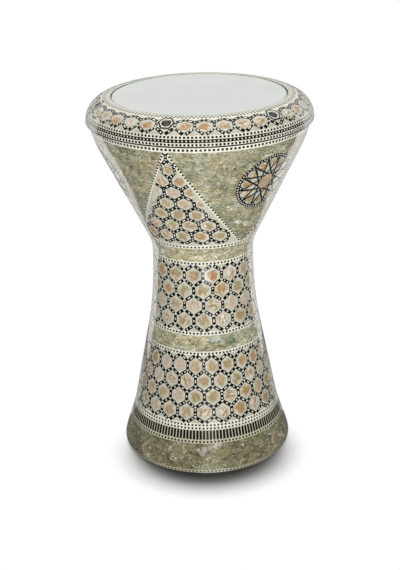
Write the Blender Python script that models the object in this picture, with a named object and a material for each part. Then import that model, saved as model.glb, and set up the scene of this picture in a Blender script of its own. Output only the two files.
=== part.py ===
"""A goblet drum: cast aluminium shell, tunable plastic head and mother-of-pearl inlay.

Z runs up the drum's axis from the floor, and azimuth 0 faces the front, which is -Y.
Lengths are in metres, written as millimetres times mm.
"""

import math

import bmesh
import bpy
import numpy as np
from mathutils import Matrix, Vector

mm = 0.001

# Facets round the drum's axis, and round each bolt
facets = 32
bolt_facets = 12

# Clearances
touch_gap = 0.3 * mm  # between pieces that touch
slide_gap = 0.5 * mm  # beside a piece that slides
weld = 0.001 * mm  # points closer than this are one point

# Heights of the inlay bands on the foot and neck, from the floor up
foot_bare = 2.0 * mm
foot_rim_strip_height = 5.6 * mm
foot_mosaic_height = 31.0 * mm
key_lower_strip_height = 4.6 * mm
key_band_height = 10.4 * mm
key_upper_strip_height = 8.6 * mm
foot_honeycomb_height = 81.6 * mm
neck_lower_strip_height = 4.6 * mm
neck_mosaic_height = 18.7 * mm
neck_upper_strip_height = 4.6 * mm
neck_honeycomb_height = 81.6 * mm
waist_strip_height = 4.6 * mm
waist_mosaic_height = 17.1 * mm
bowl_base_strip_height = 4.9 * mm

# The bowl's inlay, from its base strip to the shoulder
bowl_panel_height = 128.5 * mm
bowl_top_strip_height = 5.4 * mm

# Radii and slopes of the finished outline
rim_radius = 95.0 * mm
bulge_radius = 103.8 * mm
bulge_height = 11.0 * mm
flare_radius = 88.2 * mm
taper_radius = 69.2 * mm
neck_radius = 60.5 * mm
waist_radius = 61.5 * mm
waist_rise = 10.0 * mm
shoulder_half_angle = math.radians(11.4)
shoulder_round = 32.0 * mm

# How far each curve's handles reach, as shares of the height that the curve climbs
bulge_pull = 0.21
bulge_draw = 0.025
flare_pull = 0.34
taper_pull = 0.3
neck_pull = 0.37

# Casting
inlay_depth = 1.5 * mm
wall = 5.0 * mm
rim_width = 8.0 * mm
rim_bead = 5.0 * mm
shoulder_thickness = 6.3 * mm
haunch_height = 14.0 * mm
bearing_wall = 4.4 * mm
bearing_round = 2.5 * mm

# Head
film_radius = 102.2 * mm
film_thickness = 0.25 * mm
film_drop = 0.4 * mm
film_collar = 11.4 * mm
collar_gap = 1.55 * mm
hoop_height = 6.5 * mm
hoop_groove_depth = 5.0 * mm
hoop_outer_wall = 2.9 * mm

# Tension ring
ring_width = 30.1 * mm  # from the lip round the head to the ring's side
ring_overhang = 3.6 * mm
ring_seam = 1.0 * mm
ring_side = 1.7 * mm
ring_rise = 27.0 * mm
ring_inlay_depth = 1.2 * mm
lip_gap = 1.1 * mm
lip_depth = 10.2 * mm
ring_lower_strip_width = 5.3 * mm
ring_black_band_width = 3.5 * mm
ring_outer_strip_width = 4.1 * mm
ring_inner_strip_width = 12.2 * mm

# Bolts: M6 socket heads in counterbores
bolt_count = 6
first_bolt_azimuth = math.radians(-17.7)
bolt_inset = 13.4 * mm
bolt_radius = 3.0 * mm
bolt_length = 25.0 * mm
bolt_head_radius = 5.0 * mm
bolt_head_height = 6.0 * mm
bolt_sink = 2.5 * mm
socket_apothem = 2.5 * mm
socket_depth = 3.0 * mm
chamfer = 0.6 * mm
washer_radius = 6.0 * mm
washer_thickness = 1.2 * mm
thread_reach = 1.6 * mm
surround_apothem = 8.7 * mm

# Bowl inlay
panel_count = 3
triangle_tip_width = 5.0 * mm
triangle_base_margin = 3.0 * mm
rosette_radius = 38.3 * mm
rosette_drop = 48.1 * mm  # of its centre below the top strip

materials = {
    "pearl mosaic": ((0.46, 0.45, 0.35), 0.25, 0.0),
    "pearl honeycomb": ((0.62, 0.60, 0.51), 0.25, 0.0),
    "dotted strip": ((0.68, 0.66, 0.55), 0.25, 0.0),
    "black inlay": ((0.02, 0.02, 0.02), 0.25, 0.0),
    "cast aluminium": ((0.56, 0.57, 0.58), 0.5, 1.0),
    "PET film": ((0.72, 0.74, 0.73), 0.4, 0.0),
    "dark chrome": ((0.20, 0.20, 0.21), 0.2, 1.0),
}


def clear_scene():
    for thing in list(bpy.data.objects):
        bpy.data.objects.remove(thing, do_unlink=True)


def bezier(controls, steps):
    """Points along a Bezier curve, without its first one."""
    points = []
    for step in range(1, steps + 1):
        level = [np.array(point) for point in controls]
        while len(level) > 1:
            level = [a + (b - a) * step / steps for a, b in zip(level, level[1:])]
        points.append(level[0])
    return points


def quarter_ellipse(center, radius, height, steps):
    """Points from the ellipse's outermost point up to its top, as (radius, height)."""
    angles = [math.pi / 2 * step / steps for step in range(steps + 1)]
    return [np.array(center) + (radius * math.cos(a), height * math.sin(a)) for a in angles]


# Band floors on the body, each band a touch gap above the one below
band_heights = {
    "foot_rim_strip": foot_rim_strip_height,
    "foot_mosaic": foot_mosaic_height,
    "key_lower_strip": key_lower_strip_height,
    "key_band": key_band_height,
    "key_upper_strip": key_upper_strip_height,
    "foot_honeycomb": foot_honeycomb_height,
    "neck_lower_strip": neck_lower_strip_height,
    "neck_mosaic": neck_mosaic_height,
    "neck_upper_strip": neck_upper_strip_height,
    "neck_honeycomb": neck_honeycomb_height,
    "waist_strip": waist_strip_height,
    "waist_mosaic": waist_mosaic_height,
    "bowl_base_strip": bowl_base_strip_height,
    "bowl_panels": bowl_panel_height,
    "bowl_top_strip": bowl_top_strip_height,
}
band_floors = {}
next_floor = foot_bare
for band, height in band_heights.items():
    band_floors[band] = next_floor
    next_floor += height + touch_gap
shoulder_height = next_floor

# The head sets the ring, and the ring sets the bowl's width at the shoulder
lip_radius = film_radius + lip_gap
ring_radius = lip_radius + ring_width
shoulder_radius = ring_radius - ring_overhang

# The bowl is a cone from the waist up to where the shoulder's round starts
waist_height = band_floors["waist_mosaic"] + waist_rise
round_end_rise = math.tan(shoulder_half_angle) * shoulder_round / 2
cone_width = shoulder_radius - round_end_rise - waist_radius
bowl_slope = cone_width / (shoulder_height - shoulder_round / 2 - waist_height)
bowl_half_angle = math.atan(bowl_slope)

band_materials = {"mosaic": "pearl mosaic", "honeycomb": "pearl honeycomb", "strip": "dotted strip"}


def body_outline():
    """The finished outside of the body as (radius, height), from the floor to the shoulder."""
    flare_height = band_floors["foot_honeycomb"]
    taper_height = band_floors["neck_mosaic"] + neck_mosaic_height / 2
    neck_top = band_floors["waist_mosaic"]
    round_floor = shoulder_height - shoulder_round
    round_radius = waist_radius + bowl_slope * (round_floor - waist_height)
    taper = (flare_radius - taper_radius) / (taper_height - flare_height)
    neck_run = neck_top - taper_height
    flare_run = flare_height - bulge_height

    rim = quarter_ellipse((rim_radius, bulge_height), bulge_radius - rim_radius, -bulge_height, 3)
    points = rim[::-1]
    points += bezier(
        [
            (bulge_radius, bulge_height),
            (bulge_radius - bulge_draw * flare_run, bulge_height + bulge_pull * flare_run),
            (flare_radius + taper * flare_pull * flare_run, flare_height - flare_pull * flare_run),
            (flare_radius, flare_height),
        ],
        5,
    )
    points.append(np.array((taper_radius, taper_height)))
    points += bezier(
        [
            (taper_radius, taper_height),
            (taper_radius - taper * taper_pull * neck_run, taper_height + taper_pull * neck_run),
            (neck_radius, neck_top - neck_pull * neck_run),
            (neck_radius, neck_top),
        ],
        4,
    )
    points.append(np.array((waist_radius, waist_height)))
    points.append(np.array((round_radius, round_floor)))
    middle = (round_radius + bowl_slope * shoulder_round / 2, round_floor + shoulder_round / 2)
    points += bezier([(round_radius, round_floor), middle, (shoulder_radius, shoulder_height)], 3)
    return np.array(points)


body = body_outline()

# Levels and radii that follow from the sizes above
ring_floor = shoulder_height + ring_seam
ring_turn = ring_floor + ring_side
crest = ring_turn + ring_rise
film_top = crest - film_drop
film_inner = film_radius - film_thickness
bearing_radius = film_inner - collar_gap
bearing_top = film_top - film_thickness - touch_gap
hoop_top = crest - lip_depth - touch_gap
hoop_inner = bearing_radius + slide_gap
hoop_radius = film_radius + touch_gap + hoop_outer_wall
recess_radius = hoop_radius + slide_gap
bolt_circle = ring_radius - bolt_inset
counterbore_radius = washer_radius + slide_gap
bed_gap = inlay_depth + touch_gap
ring_bed_gap = ring_inlay_depth + touch_gap


def ring_outline():
    """The finished outside of the ring, from its lower edge up and over to the lip."""
    dome = quarter_ellipse((lip_radius, ring_turn), ring_width, ring_rise, 7)
    return np.array([(ring_radius, ring_floor)] + dome)


ring = ring_outline()


def offsets(outline):
    """The inward direction at each outline point, long enough to keep the skin's depth."""
    steps = np.diff(outline, axis=0)
    steps /= np.linalg.norm(steps, axis=1)[:, None]
    inward = np.stack([-steps[:, 1], steps[:, 0]], axis=1)
    before = np.vstack([inward[:1], inward])
    after = np.vstack([inward, inward[-1:]])
    return (before + after) / (1 + (before * after).sum(axis=1))[:, None]


def stretch(outline, start, end, depth=0.0):
    """The outline between two distances along it, moved inward by depth."""
    lengths = np.concatenate([[0], np.cumsum(np.linalg.norm(np.diff(outline, axis=0), axis=1))])
    moved = outline + offsets(outline) * depth
    inside = lengths[(lengths > start + touch_gap) & (lengths < end - touch_gap)]
    places = [start, *inside, end]
    return [tuple(np.interp(place, lengths, moved[:, axis]) for axis in (0, 1)) for place in places]


def along(outline, height):
    """The distance along the outline at which it reaches a height."""
    lengths = np.concatenate([[0], np.cumsum(np.linalg.norm(np.diff(outline, axis=0), axis=1))])
    return float(np.interp(height, outline[:, 1], lengths))


def body_radius(height, depth=0.0):
    moved = body + offsets(body) * depth
    return float(np.interp(height, moved[:, 1], moved[:, 0]))


def ring_height(radius):
    """Height of the ring's domed top at a radius."""
    return float(np.interp(-radius, -ring[:, 0], ring[:, 1]))


def facing(azimuth):
    """The level unit vector that points from the axis towards an azimuth."""
    return Vector((math.sin(azimuth), -math.cos(azimuth), 0.0))


def material(name):
    if name in bpy.data.materials:
        return bpy.data.materials[name]
    color, roughness, metallic = materials[name]
    made = bpy.data.materials.new(name)
    made.use_nodes = True
    shader = made.node_tree.nodes["Principled BSDF"]
    shader.inputs["Base Color"].default_value = (*color, 1.0)
    shader.inputs["Roughness"].default_value = roughness
    shader.inputs["Metallic"].default_value = metallic
    made.diffuse_color = (*color, 1.0)
    return made


def mesh_from(bm, name):
    bmesh.ops.recalc_face_normals(bm, faces=bm.faces)
    if bm.calc_volume(signed=True) < 0:
        bmesh.ops.reverse_faces(bm, faces=bm.faces)
    mesh = bpy.data.meshes.new(name)
    bm.to_mesh(mesh)
    bm.free()
    return mesh


def add_object(name, mesh, material_name=None, location=(0, 0, 0)):
    made = bpy.data.objects.new(name, mesh)
    made.location = location
    bpy.context.collection.objects.link(made)
    if material_name is None:
        made.hide_render = True
        made.display_type = "WIRE"
        return made
    if not mesh.materials:
        mesh.materials.append(material(material_name))
        mesh.shade_smooth()
        mesh.set_sharp_from_angle(angle=math.radians(35))
    return made


def turned_mesh(name, section, segments=facets):
    """A closed section of (radius, height) points, spun round Z."""
    bm = bmesh.new()
    corners = [bm.verts.new((radius, 0, height)) for radius, height in section]
    closed = not (section[0][0] == 0 and section[-1][0] == 0)
    ends = zip(corners, corners[1:] + corners[:1] if closed else corners[1:])
    edges = [bm.edges.new(pair) for pair in ends]
    bmesh.ops.spin(
        bm,
        geom=corners + edges,
        axis=(0, 0, 1),
        cent=(0, 0, 0),
        angle=2 * math.pi,
        steps=segments,
        use_merge=True,
    )
    bmesh.ops.remove_doubles(bm, verts=bm.verts, dist=weld)
    return mesh_from(bm, name)


def turned(name, section, material_name=None):
    return add_object(name, turned_mesh(name, section), material_name)


def skin_section(outline, start, end, depth):
    return stretch(outline, start, end) + stretch(outline, start, end, depth)[::-1]


def cut(target, operation, cutters):
    for cutter in cutters:
        modifier = target.modifiers.new(f"{operation} {cutter.name}", "BOOLEAN")
        modifier.operation = operation
        modifier.object = cutter
        modifier.solver = "EXACT"


# Body


def body_casting():
    """The one-piece shell: foot, neck, bowl, shoulder and the wall that carries the head."""
    lowest = along(body, foot_bare)
    outside = stretch(body, lowest, along(body, shoulder_height), bed_gap)[:-1]
    outside.append((body_radius(shoulder_height, bed_gap), shoulder_height))
    inside = body + offsets(body) * (bed_gap + wall)
    haunch_floor = shoulder_height - shoulder_thickness - haunch_height
    bore_floor = bulge_height + wall
    bore = [tuple(point) for point in inside if bore_floor < point[1] < haunch_floor]
    haunch_radius = body_radius(haunch_floor, bed_gap + wall)
    bearing_inner = bearing_radius - bearing_wall
    edge_center = (bearing_radius - bearing_round, bearing_top - bearing_round)
    rim_inner = rim_radius - rim_width
    section = [(rim_inner, 0), (rim_radius, 0)] + outside
    section += [(bearing_radius, shoulder_height)]
    section += [tuple(point) for point in quarter_ellipse(edge_center, bearing_round, bearing_round, 3)]
    section += [(bearing_inner, bearing_top - touch_gap)]
    section += [(bearing_inner, shoulder_height - shoulder_thickness)]
    section += [(haunch_radius, haunch_floor)] + bore[::-1]
    section += [(rim_inner, rim_bead)]
    casting = turned("body_casting", section, "cast aluminium")
    cut(casting, "DIFFERENCE", tapped_holes())


def tapped_holes():
    depth = bolt_tip_drop() + thread_reach
    section = [(0, -depth), (bolt_radius + touch_gap, -depth)]
    section += [(bolt_radius + touch_gap, ring_seam), (0, ring_seam)]
    mesh = turned_mesh("tapped hole cutter", section, bolt_facets)
    return [
        add_object(f"tapped hole cutter {number}", mesh, None, spot)
        for number, spot in bolt_spots(shoulder_height)
    ]


def body_bands():
    for name, height in band_heights.items():
        if name == "bowl_panels":
            continue
        start = along(body, band_floors[name])
        end = along(body, band_floors[name] + height)
        kind = band_materials.get(name.split("_")[-1], "black inlay")
        turned(name, skin_section(body, start, end, inlay_depth), kind)


# Bowl panels


def bowl_skin(name, material_name):
    """The whole ring of inlay between the base strip and the top strip."""
    floor = band_floors["bowl_panels"]
    start = along(body, floor)
    end = along(body, floor + bowl_panel_height)
    return turned(name, skin_section(body, start, end, inlay_depth), material_name)


def triangle_half_width(height):
    """Half the triangle's width at a height, measured round the bowl."""
    floor = band_floors["bowl_panels"]
    base = body_radius(floor) * math.pi / panel_count - triangle_base_margin
    tip = triangle_tip_width / 2
    return tip + (base - tip) * (floor + bowl_panel_height - height) / bowl_panel_height


def wedge_cutter(name, azimuth, half_angle):
    """A block through the bowl's skin, as wide at each height as half_angle says."""
    floor = band_floors["bowl_panels"]
    rows = 8
    columns = 12
    margin = 3 * touch_gap  # past the skin above and below
    reach = 4 * inlay_depth  # past it inward and outward
    bm = bmesh.new()
    layers = []
    for shift in (-reach, reach):
        grid = []
        for row in range(rows + 1):
            height = floor - margin + (bowl_panel_height + 2 * margin) * row / rows
            radius = body_radius(height) + shift
            line = []
            for column in range(columns + 1):
                turn = azimuth + half_angle(height) * (2 * column / columns - 1)
                line.append(bm.verts.new(facing(turn) * radius + Vector((0, 0, height))))
            grid.append(line)
        layers.append(grid)
    inner, outer = layers
    for grid in layers:
        for row in range(rows):
            for column in range(columns):
                corners = (grid[row][column], grid[row][column + 1])
                corners += (grid[row + 1][column + 1], grid[row + 1][column])
                bm.faces.new(corners)
    # Both sides are split along the same diagonal, so that neighbouring wedges stay parallel
    for side in (0, -1):
        for row in range(rows):
            low = (inner[row][side], outer[row][side])
            high = (inner[row + 1][side], outer[row + 1][side])
            bm.faces.new((low[0], low[1], high[1]))
            bm.faces.new((low[0], high[1], high[0]))
    for end in (0, -1):
        for column in range(columns):
            near = (inner[end][column], inner[end][column + 1])
            far = (outer[end][column + 1], outer[end][column])
            bm.faces.new(near + far)
    return add_object(name, mesh_from(bm, name))


def rosette_cutter(name, azimuth, radius):
    """A cylinder square to the bowl's side at a rosette's centre."""
    height = band_floors["bowl_panels"] + bowl_panel_height - rosette_drop
    outward = facing(azimuth) * math.cos(bowl_half_angle) - Vector((0, 0, math.sin(bowl_half_angle)))
    place = facing(azimuth) * body_radius(height) + Vector((0, 0, height))
    falls_away = radius**2 / body_radius(height)  # at least what the bowl curves back in at the sides
    bm = bmesh.new()
    turn = outward.to_track_quat("Z", "Y").to_matrix().to_4x4()
    bmesh.ops.create_cone(
        bm,
        cap_ends=True,
        segments=facets,
        radius1=radius,
        radius2=radius,
        depth=2 * (falls_away + inlay_depth),
        matrix=Matrix.Translation(place) @ turn,
    )
    return add_object(name, mesh_from(bm, name))


def bowl_panels():
    share = math.pi / panel_count
    for index in range(panel_count):
        number = index + 1
        triangle_azimuth = first_bolt_azimuth + 2 * share * index
        rosette_azimuth = triangle_azimuth + share

        def triangle_angle(height):
            return triangle_half_width(height) / body_radius(height)

        def field_angle(height):
            return share - (triangle_half_width(height) + touch_gap) / body_radius(height)

        triangle = wedge_cutter(f"triangle cutter {number}", triangle_azimuth, triangle_angle)
        field = wedge_cutter(f"field cutter {number}", rosette_azimuth, field_angle)
        disc = rosette_cutter(f"rosette cutter {number}", rosette_azimuth, rosette_radius)
        opening = rosette_cutter(f"opening cutter {number}", rosette_azimuth, rosette_radius + touch_gap)
        cut(bowl_skin(f"triangle_panel_{number}", "pearl honeycomb"), "INTERSECT", [triangle])
        cut(bowl_skin(f"rosette_panel_{number}", "pearl honeycomb"), "INTERSECT", [disc])
        mosaic = bowl_skin(f"bowl_mosaic_{number}", "pearl mosaic")
        cut(mosaic, "INTERSECT", [field])
        cut(mosaic, "DIFFERENCE", [opening])


# Head


def drumhead_film():
    corner = bearing_round + collar_gap
    outer_center = (film_radius - corner, film_top - corner)
    inner_corner = corner - film_thickness
    outer = [tuple(point) for point in quarter_ellipse(outer_center, corner, corner, 4)]
    inner = [tuple(point) for point in quarter_ellipse(outer_center, inner_corner, inner_corner, 4)]
    floor = film_top - film_collar
    section = [(0, film_top - film_thickness)] + inner[::-1] + [(film_inner, floor)]
    section += [(film_radius, floor)] + outer + [(0, film_top)]
    turned("drumhead_film", section, "PET film")


def head_hoop():
    floor = hoop_top - hoop_height
    groove_floor = hoop_top - hoop_groove_depth
    groove = (film_inner - touch_gap, film_radius + touch_gap)
    section = [(hoop_inner, floor), (hoop_radius, floor), (hoop_radius, hoop_top)]
    section += [(groove[1], hoop_top), (groove[1], groove_floor)]
    section += [(groove[0], groove_floor), (groove[0], hoop_top), (hoop_inner, hoop_top)]
    turned("head_hoop", section, "cast aluminium")


# Tension ring and bolts


def bolt_spots(height):
    """Each bolt's number and its point on the bolt circle at a height."""
    spots = []
    for index in range(bolt_count):
        azimuth = first_bolt_azimuth + 2 * math.pi * index / bolt_count
        spots.append((index + 1, facing(azimuth) * bolt_circle + Vector((0, 0, height))))
    return spots


def seat_height():
    """The floor of the counterbores, which carries the washers."""
    head_top = ring_height(bolt_circle) - bolt_sink
    return head_top - bolt_head_height - washer_thickness - 2 * touch_gap


def head_floor():
    return seat_height() + washer_thickness + 2 * touch_gap


def bolt_tip_drop():
    """How far a bolt's tip reaches below the shoulder."""
    return shoulder_height - (head_floor() - bolt_length)


def counterbores():
    clear = crest - seat_height() + wall
    through = seat_height() - ring_floor + wall
    section = [(0, -through), (bolt_radius + touch_gap, -through), (bolt_radius + touch_gap, 0)]
    section += [(counterbore_radius, 0), (counterbore_radius, clear), (0, clear)]
    mesh = turned_mesh("counterbore cutter", section, bolt_facets)
    return [
        add_object(f"counterbore cutter {number}", mesh, None, spot)
        for number, spot in bolt_spots(seat_height())
    ]


def along_ring_total():
    return float(np.linalg.norm(np.diff(ring, axis=0), axis=1).sum())


def tension_ring():
    bed = stretch(ring, 0, along_ring_total(), ring_bed_gap)
    lip_floor = crest - lip_depth
    section = [(recess_radius, ring_floor)] + bed + [(lip_radius, lip_floor), (recess_radius, lip_floor)]
    core = turned("tension_ring", section, "cast aluminium")
    cut(core, "DIFFERENCE", counterbores())


def ring_skin_spans():
    """Where each band of ring inlay starts and ends along the ring's outline."""
    spans = {}
    start = 0.0
    widths = (
        ("ring_lower_strip", ring_lower_strip_width),
        ("ring_black_band", ring_black_band_width),
        ("ring_outer_strip", ring_outer_strip_width),
    )
    for name, width in widths:
        spans[name] = (start, start + width)
        start += width + touch_gap
    total = along_ring_total()
    spans["ring_honeycomb"] = (start, total - ring_inner_strip_width - touch_gap)
    spans["ring_inner_strip"] = (total - ring_inner_strip_width, total)
    return spans


def surround_cutters(apothem):
    """Six-sided prisms square to the ring's surface, one over each bolt."""
    cutters = []
    center_height = ring_height(bolt_circle)
    slope_out = (bolt_circle - lip_radius) / ring_width**2
    slope_up = (center_height - ring_turn) / ring_rise**2
    corner = apothem / math.cos(math.pi / 6)
    reach = 4 * ring_inlay_depth  # past the skin inward and outward
    for number, spot in bolt_spots(center_height):
        out = Vector((spot.x, spot.y, 0)).normalized()
        normal = (out * slope_out + Vector((0, 0, slope_up))).normalized()
        side = Vector((0, 0, 1)).cross(out).normalized()
        turn = Matrix((side, normal.cross(side), normal)).transposed().to_4x4()
        bm = bmesh.new()
        bmesh.ops.create_cone(
            bm,
            cap_ends=True,
            segments=6,
            radius1=corner,
            radius2=corner,
            depth=2 * reach,
            matrix=Matrix.Translation(spot) @ turn @ Matrix.Rotation(math.pi / 6, 4, "Z"),
        )
        name = f"surround cutter {number} {apothem / mm:.1f}"
        cutters.append(add_object(name, mesh_from(bm, name)))
    return cutters


def ring_inlay():
    spans = ring_skin_spans()
    sections = {name: skin_section(ring, *span, ring_inlay_depth) for name, span in spans.items()}
    for name, section in sections.items():
        piece = turned(name, section, band_materials.get(name.split("_")[-1], "black inlay"))
        if name == "ring_honeycomb":
            cut(piece, "DIFFERENCE", surround_cutters(surround_apothem + touch_gap))
    openings = counterbores()
    for index, hexagon in enumerate(surround_cutters(surround_apothem)):
        surround = turned(f"bolt_surround_{index + 1}", sections["ring_honeycomb"], "black inlay")
        cut(surround, "INTERSECT", [hexagon])
        cut(surround, "DIFFERENCE", [openings[index]])


def bolt_mesh():
    """A socket-head bolt with its origin on its axis, under the head."""
    tip = -bolt_length
    corner = socket_apothem / math.cos(math.pi / 6)
    section = [(0, tip), (bolt_radius - chamfer, tip), (bolt_radius, tip + chamfer), (bolt_radius, 0)]
    section += [(bolt_head_radius, 0), (bolt_head_radius, bolt_head_height - chamfer)]
    section += [(bolt_head_radius - chamfer, bolt_head_height), (corner, bolt_head_height)]
    section += [(corner, bolt_head_height - socket_depth), (0, bolt_head_height - socket_depth)]
    mesh = turned_mesh("tension bolt", section, bolt_facets)
    # The round hole in the head is drawn in between its six corners
    for vertex in mesh.vertices:
        from_axis = math.hypot(vertex.co.x, vertex.co.y)
        if abs(from_axis - corner) < weld and vertex.co.z > 0:
            turn = math.atan2(vertex.co.y, vertex.co.x)
            off_flat = turn % (math.pi / 3) - math.pi / 6
            drawn_in = math.cos(math.pi / 6) / math.cos(off_flat)
            vertex.co.x *= drawn_in
            vertex.co.y *= drawn_in
    return mesh


def bolts_and_washers():
    bolt = bolt_mesh()
    hole = bolt_radius + touch_gap
    washer_section = [(hole, 0), (washer_radius, 0)]
    washer_section += [(washer_radius, washer_thickness), (hole, washer_thickness)]
    washer = turned_mesh("bolt washer", washer_section, bolt_facets)
    for number, spot in bolt_spots(head_floor()):
        add_object(f"tension_bolt_{number}", bolt, "dark chrome", spot)
    for number, spot in bolt_spots(seat_height() + touch_gap):
        add_object(f"bolt_washer_{number}", washer, "dark chrome", spot)


clear_scene()
body_casting()
body_bands()
bowl_panels()
drumhead_film()
head_hoop()
tension_ring()
ring_inlay()
bolts_and_washers()
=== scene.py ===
import math
import random

import bpy
import numpy as np
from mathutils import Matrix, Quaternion, Vector


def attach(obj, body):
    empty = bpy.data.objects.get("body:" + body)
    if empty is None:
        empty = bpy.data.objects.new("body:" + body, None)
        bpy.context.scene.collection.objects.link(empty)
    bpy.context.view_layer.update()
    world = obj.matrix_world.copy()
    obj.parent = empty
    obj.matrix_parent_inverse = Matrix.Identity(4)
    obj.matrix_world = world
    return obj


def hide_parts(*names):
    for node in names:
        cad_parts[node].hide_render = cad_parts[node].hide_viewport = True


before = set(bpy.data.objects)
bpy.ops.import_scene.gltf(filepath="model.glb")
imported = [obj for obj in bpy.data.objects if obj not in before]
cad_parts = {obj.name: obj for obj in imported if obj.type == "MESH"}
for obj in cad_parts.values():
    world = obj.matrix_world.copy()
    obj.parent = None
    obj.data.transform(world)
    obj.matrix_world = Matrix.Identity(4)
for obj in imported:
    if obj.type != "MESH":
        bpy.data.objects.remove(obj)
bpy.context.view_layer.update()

mm = 0.001
chance = random.Random(11)
smoothAngle = math.radians(35)

# Camera: the photograph's own view, its longer side spanning the sensor

cameraSetup = {
    "lens": 83.99,
    "sensor": 36,
    "place": (-1.06, -1517.75, 811.75),
    "aim": (-4.63, 0.0, 207.86),
    "roll": -1.45,
    "farthest": 60,
}


def addCamera(setup):
    deselectAll()
    bpy.ops.object.camera_add()
    camera = bpy.context.object
    camera.name = "studioCamera"
    camera.data.lens = setup["lens"]
    camera.data.sensor_width = setup["sensor"]
    camera.data.clip_end = setup["farthest"]
    place = Vector(setup["place"]) * mm
    look = (Vector(setup["aim"]) * mm - place).to_track_quat("-Z", "Y")
    camera.location = place
    camera.rotation_mode = "QUATERNION"
    camera.rotation_quaternion = look @ Quaternion((0, 0, 1), math.radians(setup["roll"]))
    bpy.context.scene.camera = camera


def deselectAll():
    if bpy.context.mode != "OBJECT":
        bpy.ops.object.mode_set(mode="OBJECT")
    bpy.ops.object.select_all(action="DESELECT")


def activate(piece):
    deselectAll()
    piece.select_set(True)
    bpy.context.view_layer.objects.active = piece


def startEdit(piece):
    activate(piece)
    bpy.ops.object.mode_set(mode="EDIT")
    bpy.ops.mesh.select_all(action="SELECT")


def applyModifier(piece, modifier):
    activate(piece)
    bpy.ops.object.modifier_apply(modifier=modifier.name)


def addShape(kind, **settings):
    deselectAll()
    getattr(bpy.ops.mesh, f"primitive_{kind}_add")(**settings)
    return bpy.context.object


def finishPiece(piece, name, material, body, slot, replaced=()):
    piece.name = name
    piece.data.name = name
    piece.data.materials.clear()
    piece.data.materials.append(material)
    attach(piece, body)
    if replaced:
        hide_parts(*replaced)
    return piece


# Colours and materials


def hexColour(code):
    channels = [int(code[i:i + 2], 16) / 255 for i in (1, 3, 5)]
    linear = [c / 12.92 if c <= 0.04045 else ((c + 0.055) / 1.055) ** 2.4 for c in channels]
    return (*linear, 1.0)


def fillInputs(node, *values, **named):
    # a value is a number, a colour code, an output, or a node that stands for its first output in use
    pairs = [*enumerate(values), *((key.replace("_", " "), value) for key, value in named.items())]
    for place, value in pairs:
        if isinstance(value, bpy.types.Node):
            value = next(output for output in value.outputs if output.enabled)
        if isinstance(value, bpy.types.NodeSocket):
            node.id_data.links.new(value, node.inputs[place])
        elif value is not None:
            node.inputs[place].default_value = hexColour(value) if isinstance(value, str) else value


def nodeAdder(tree):
    # plain values fill the new node's inputs in order, capitalised names fill inputs by name with _ for a
    # blank, and the other names are the node's own settings
    def add(kind, *values, **settings):
        node = tree.nodes.new("ShaderNode" + kind)
        named = {key: value for key, value in settings.items() if key[0].isupper()}
        for key, value in settings.items():
            if key not in named:
                setattr(node, key, value)
        fillInputs(node, *values, **named)
        return node
    return add


def startMaterial(name, **values):
    material = bpy.data.materials.new(name)
    material.use_nodes = True
    shader = material.node_tree.nodes["Principled BSDF"]
    fillInputs(shader, **values)
    return material, nodeAdder(material.node_tree), shader


def maths(add, operation, *values):
    return add("Math", *values, operation=operation)


def vectors(add, operation, *values, **named):
    return add("VectorMath", *values, operation=operation, **named)


def choose(add, factor, low, high):
    # low where factor is 0 and high where it is 1
    return add("Mix", factor, None, low, high, data_type="FLOAT")


def mixed(add, factor, low, high, blend="MIX"):
    # as choose, for colours
    return add("Mix", factor, *[None] * 5, low, high, data_type="RGBA", blend_type=blend)


def smooth(add, value, low, high, top=1.0):
    return add("MapRange", value, low, high, 0.0, top, interpolation_type="SMOOTHSTEP")


def noise(add, vector, size, detail, roughness=0.5):
    # size is in mm
    return add("TexNoise", vector, Scale=1 / (size * mm), Detail=detail, Roughness=roughness)


def ramp(add, value, *stops):
    node = add("ValToRGB", value)
    elements = node.color_ramp.elements
    while len(elements) < len(stops):
        elements.new(0.5)
    for element, (place, colour) in zip(elements, stops):
        element.position = place
        element.color = hexColour(colour)
    return node


def objectPlace(add):
    return add("TexCoord").outputs["Object"]


def addRelief(add, shader, height, strength, depth):
    fillInputs(shader, Normal=add("Bump", Height=height, Strength=strength, Distance=depth * mm))


# Clear polyester, cast thick over the inlay and polished: a sharp, even gloss over whatever lies below
polyester = {"Coat_Weight": 1.0, "Coat_Roughness": 0.05, "Coat_IOR": 1.5, "Specular_IOR_Level": 0.1}


def mottled(name, low, high, grain, roughness, bump=0.0):
    # two close colours in soft cloudy patches of the given size in mm, under the clear coat
    material, add, shader = startMaterial(name, Roughness=roughness, **polyester)
    cloud = noise(add, objectPlace(add), grain, 4.0)
    fillInputs(shader, Base_Color=ramp(add, cloud, (0.35, low), (0.65, high)))
    if bump:
        addRelief(add, shader, cloud, bump, 0.1)
    return material


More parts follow.
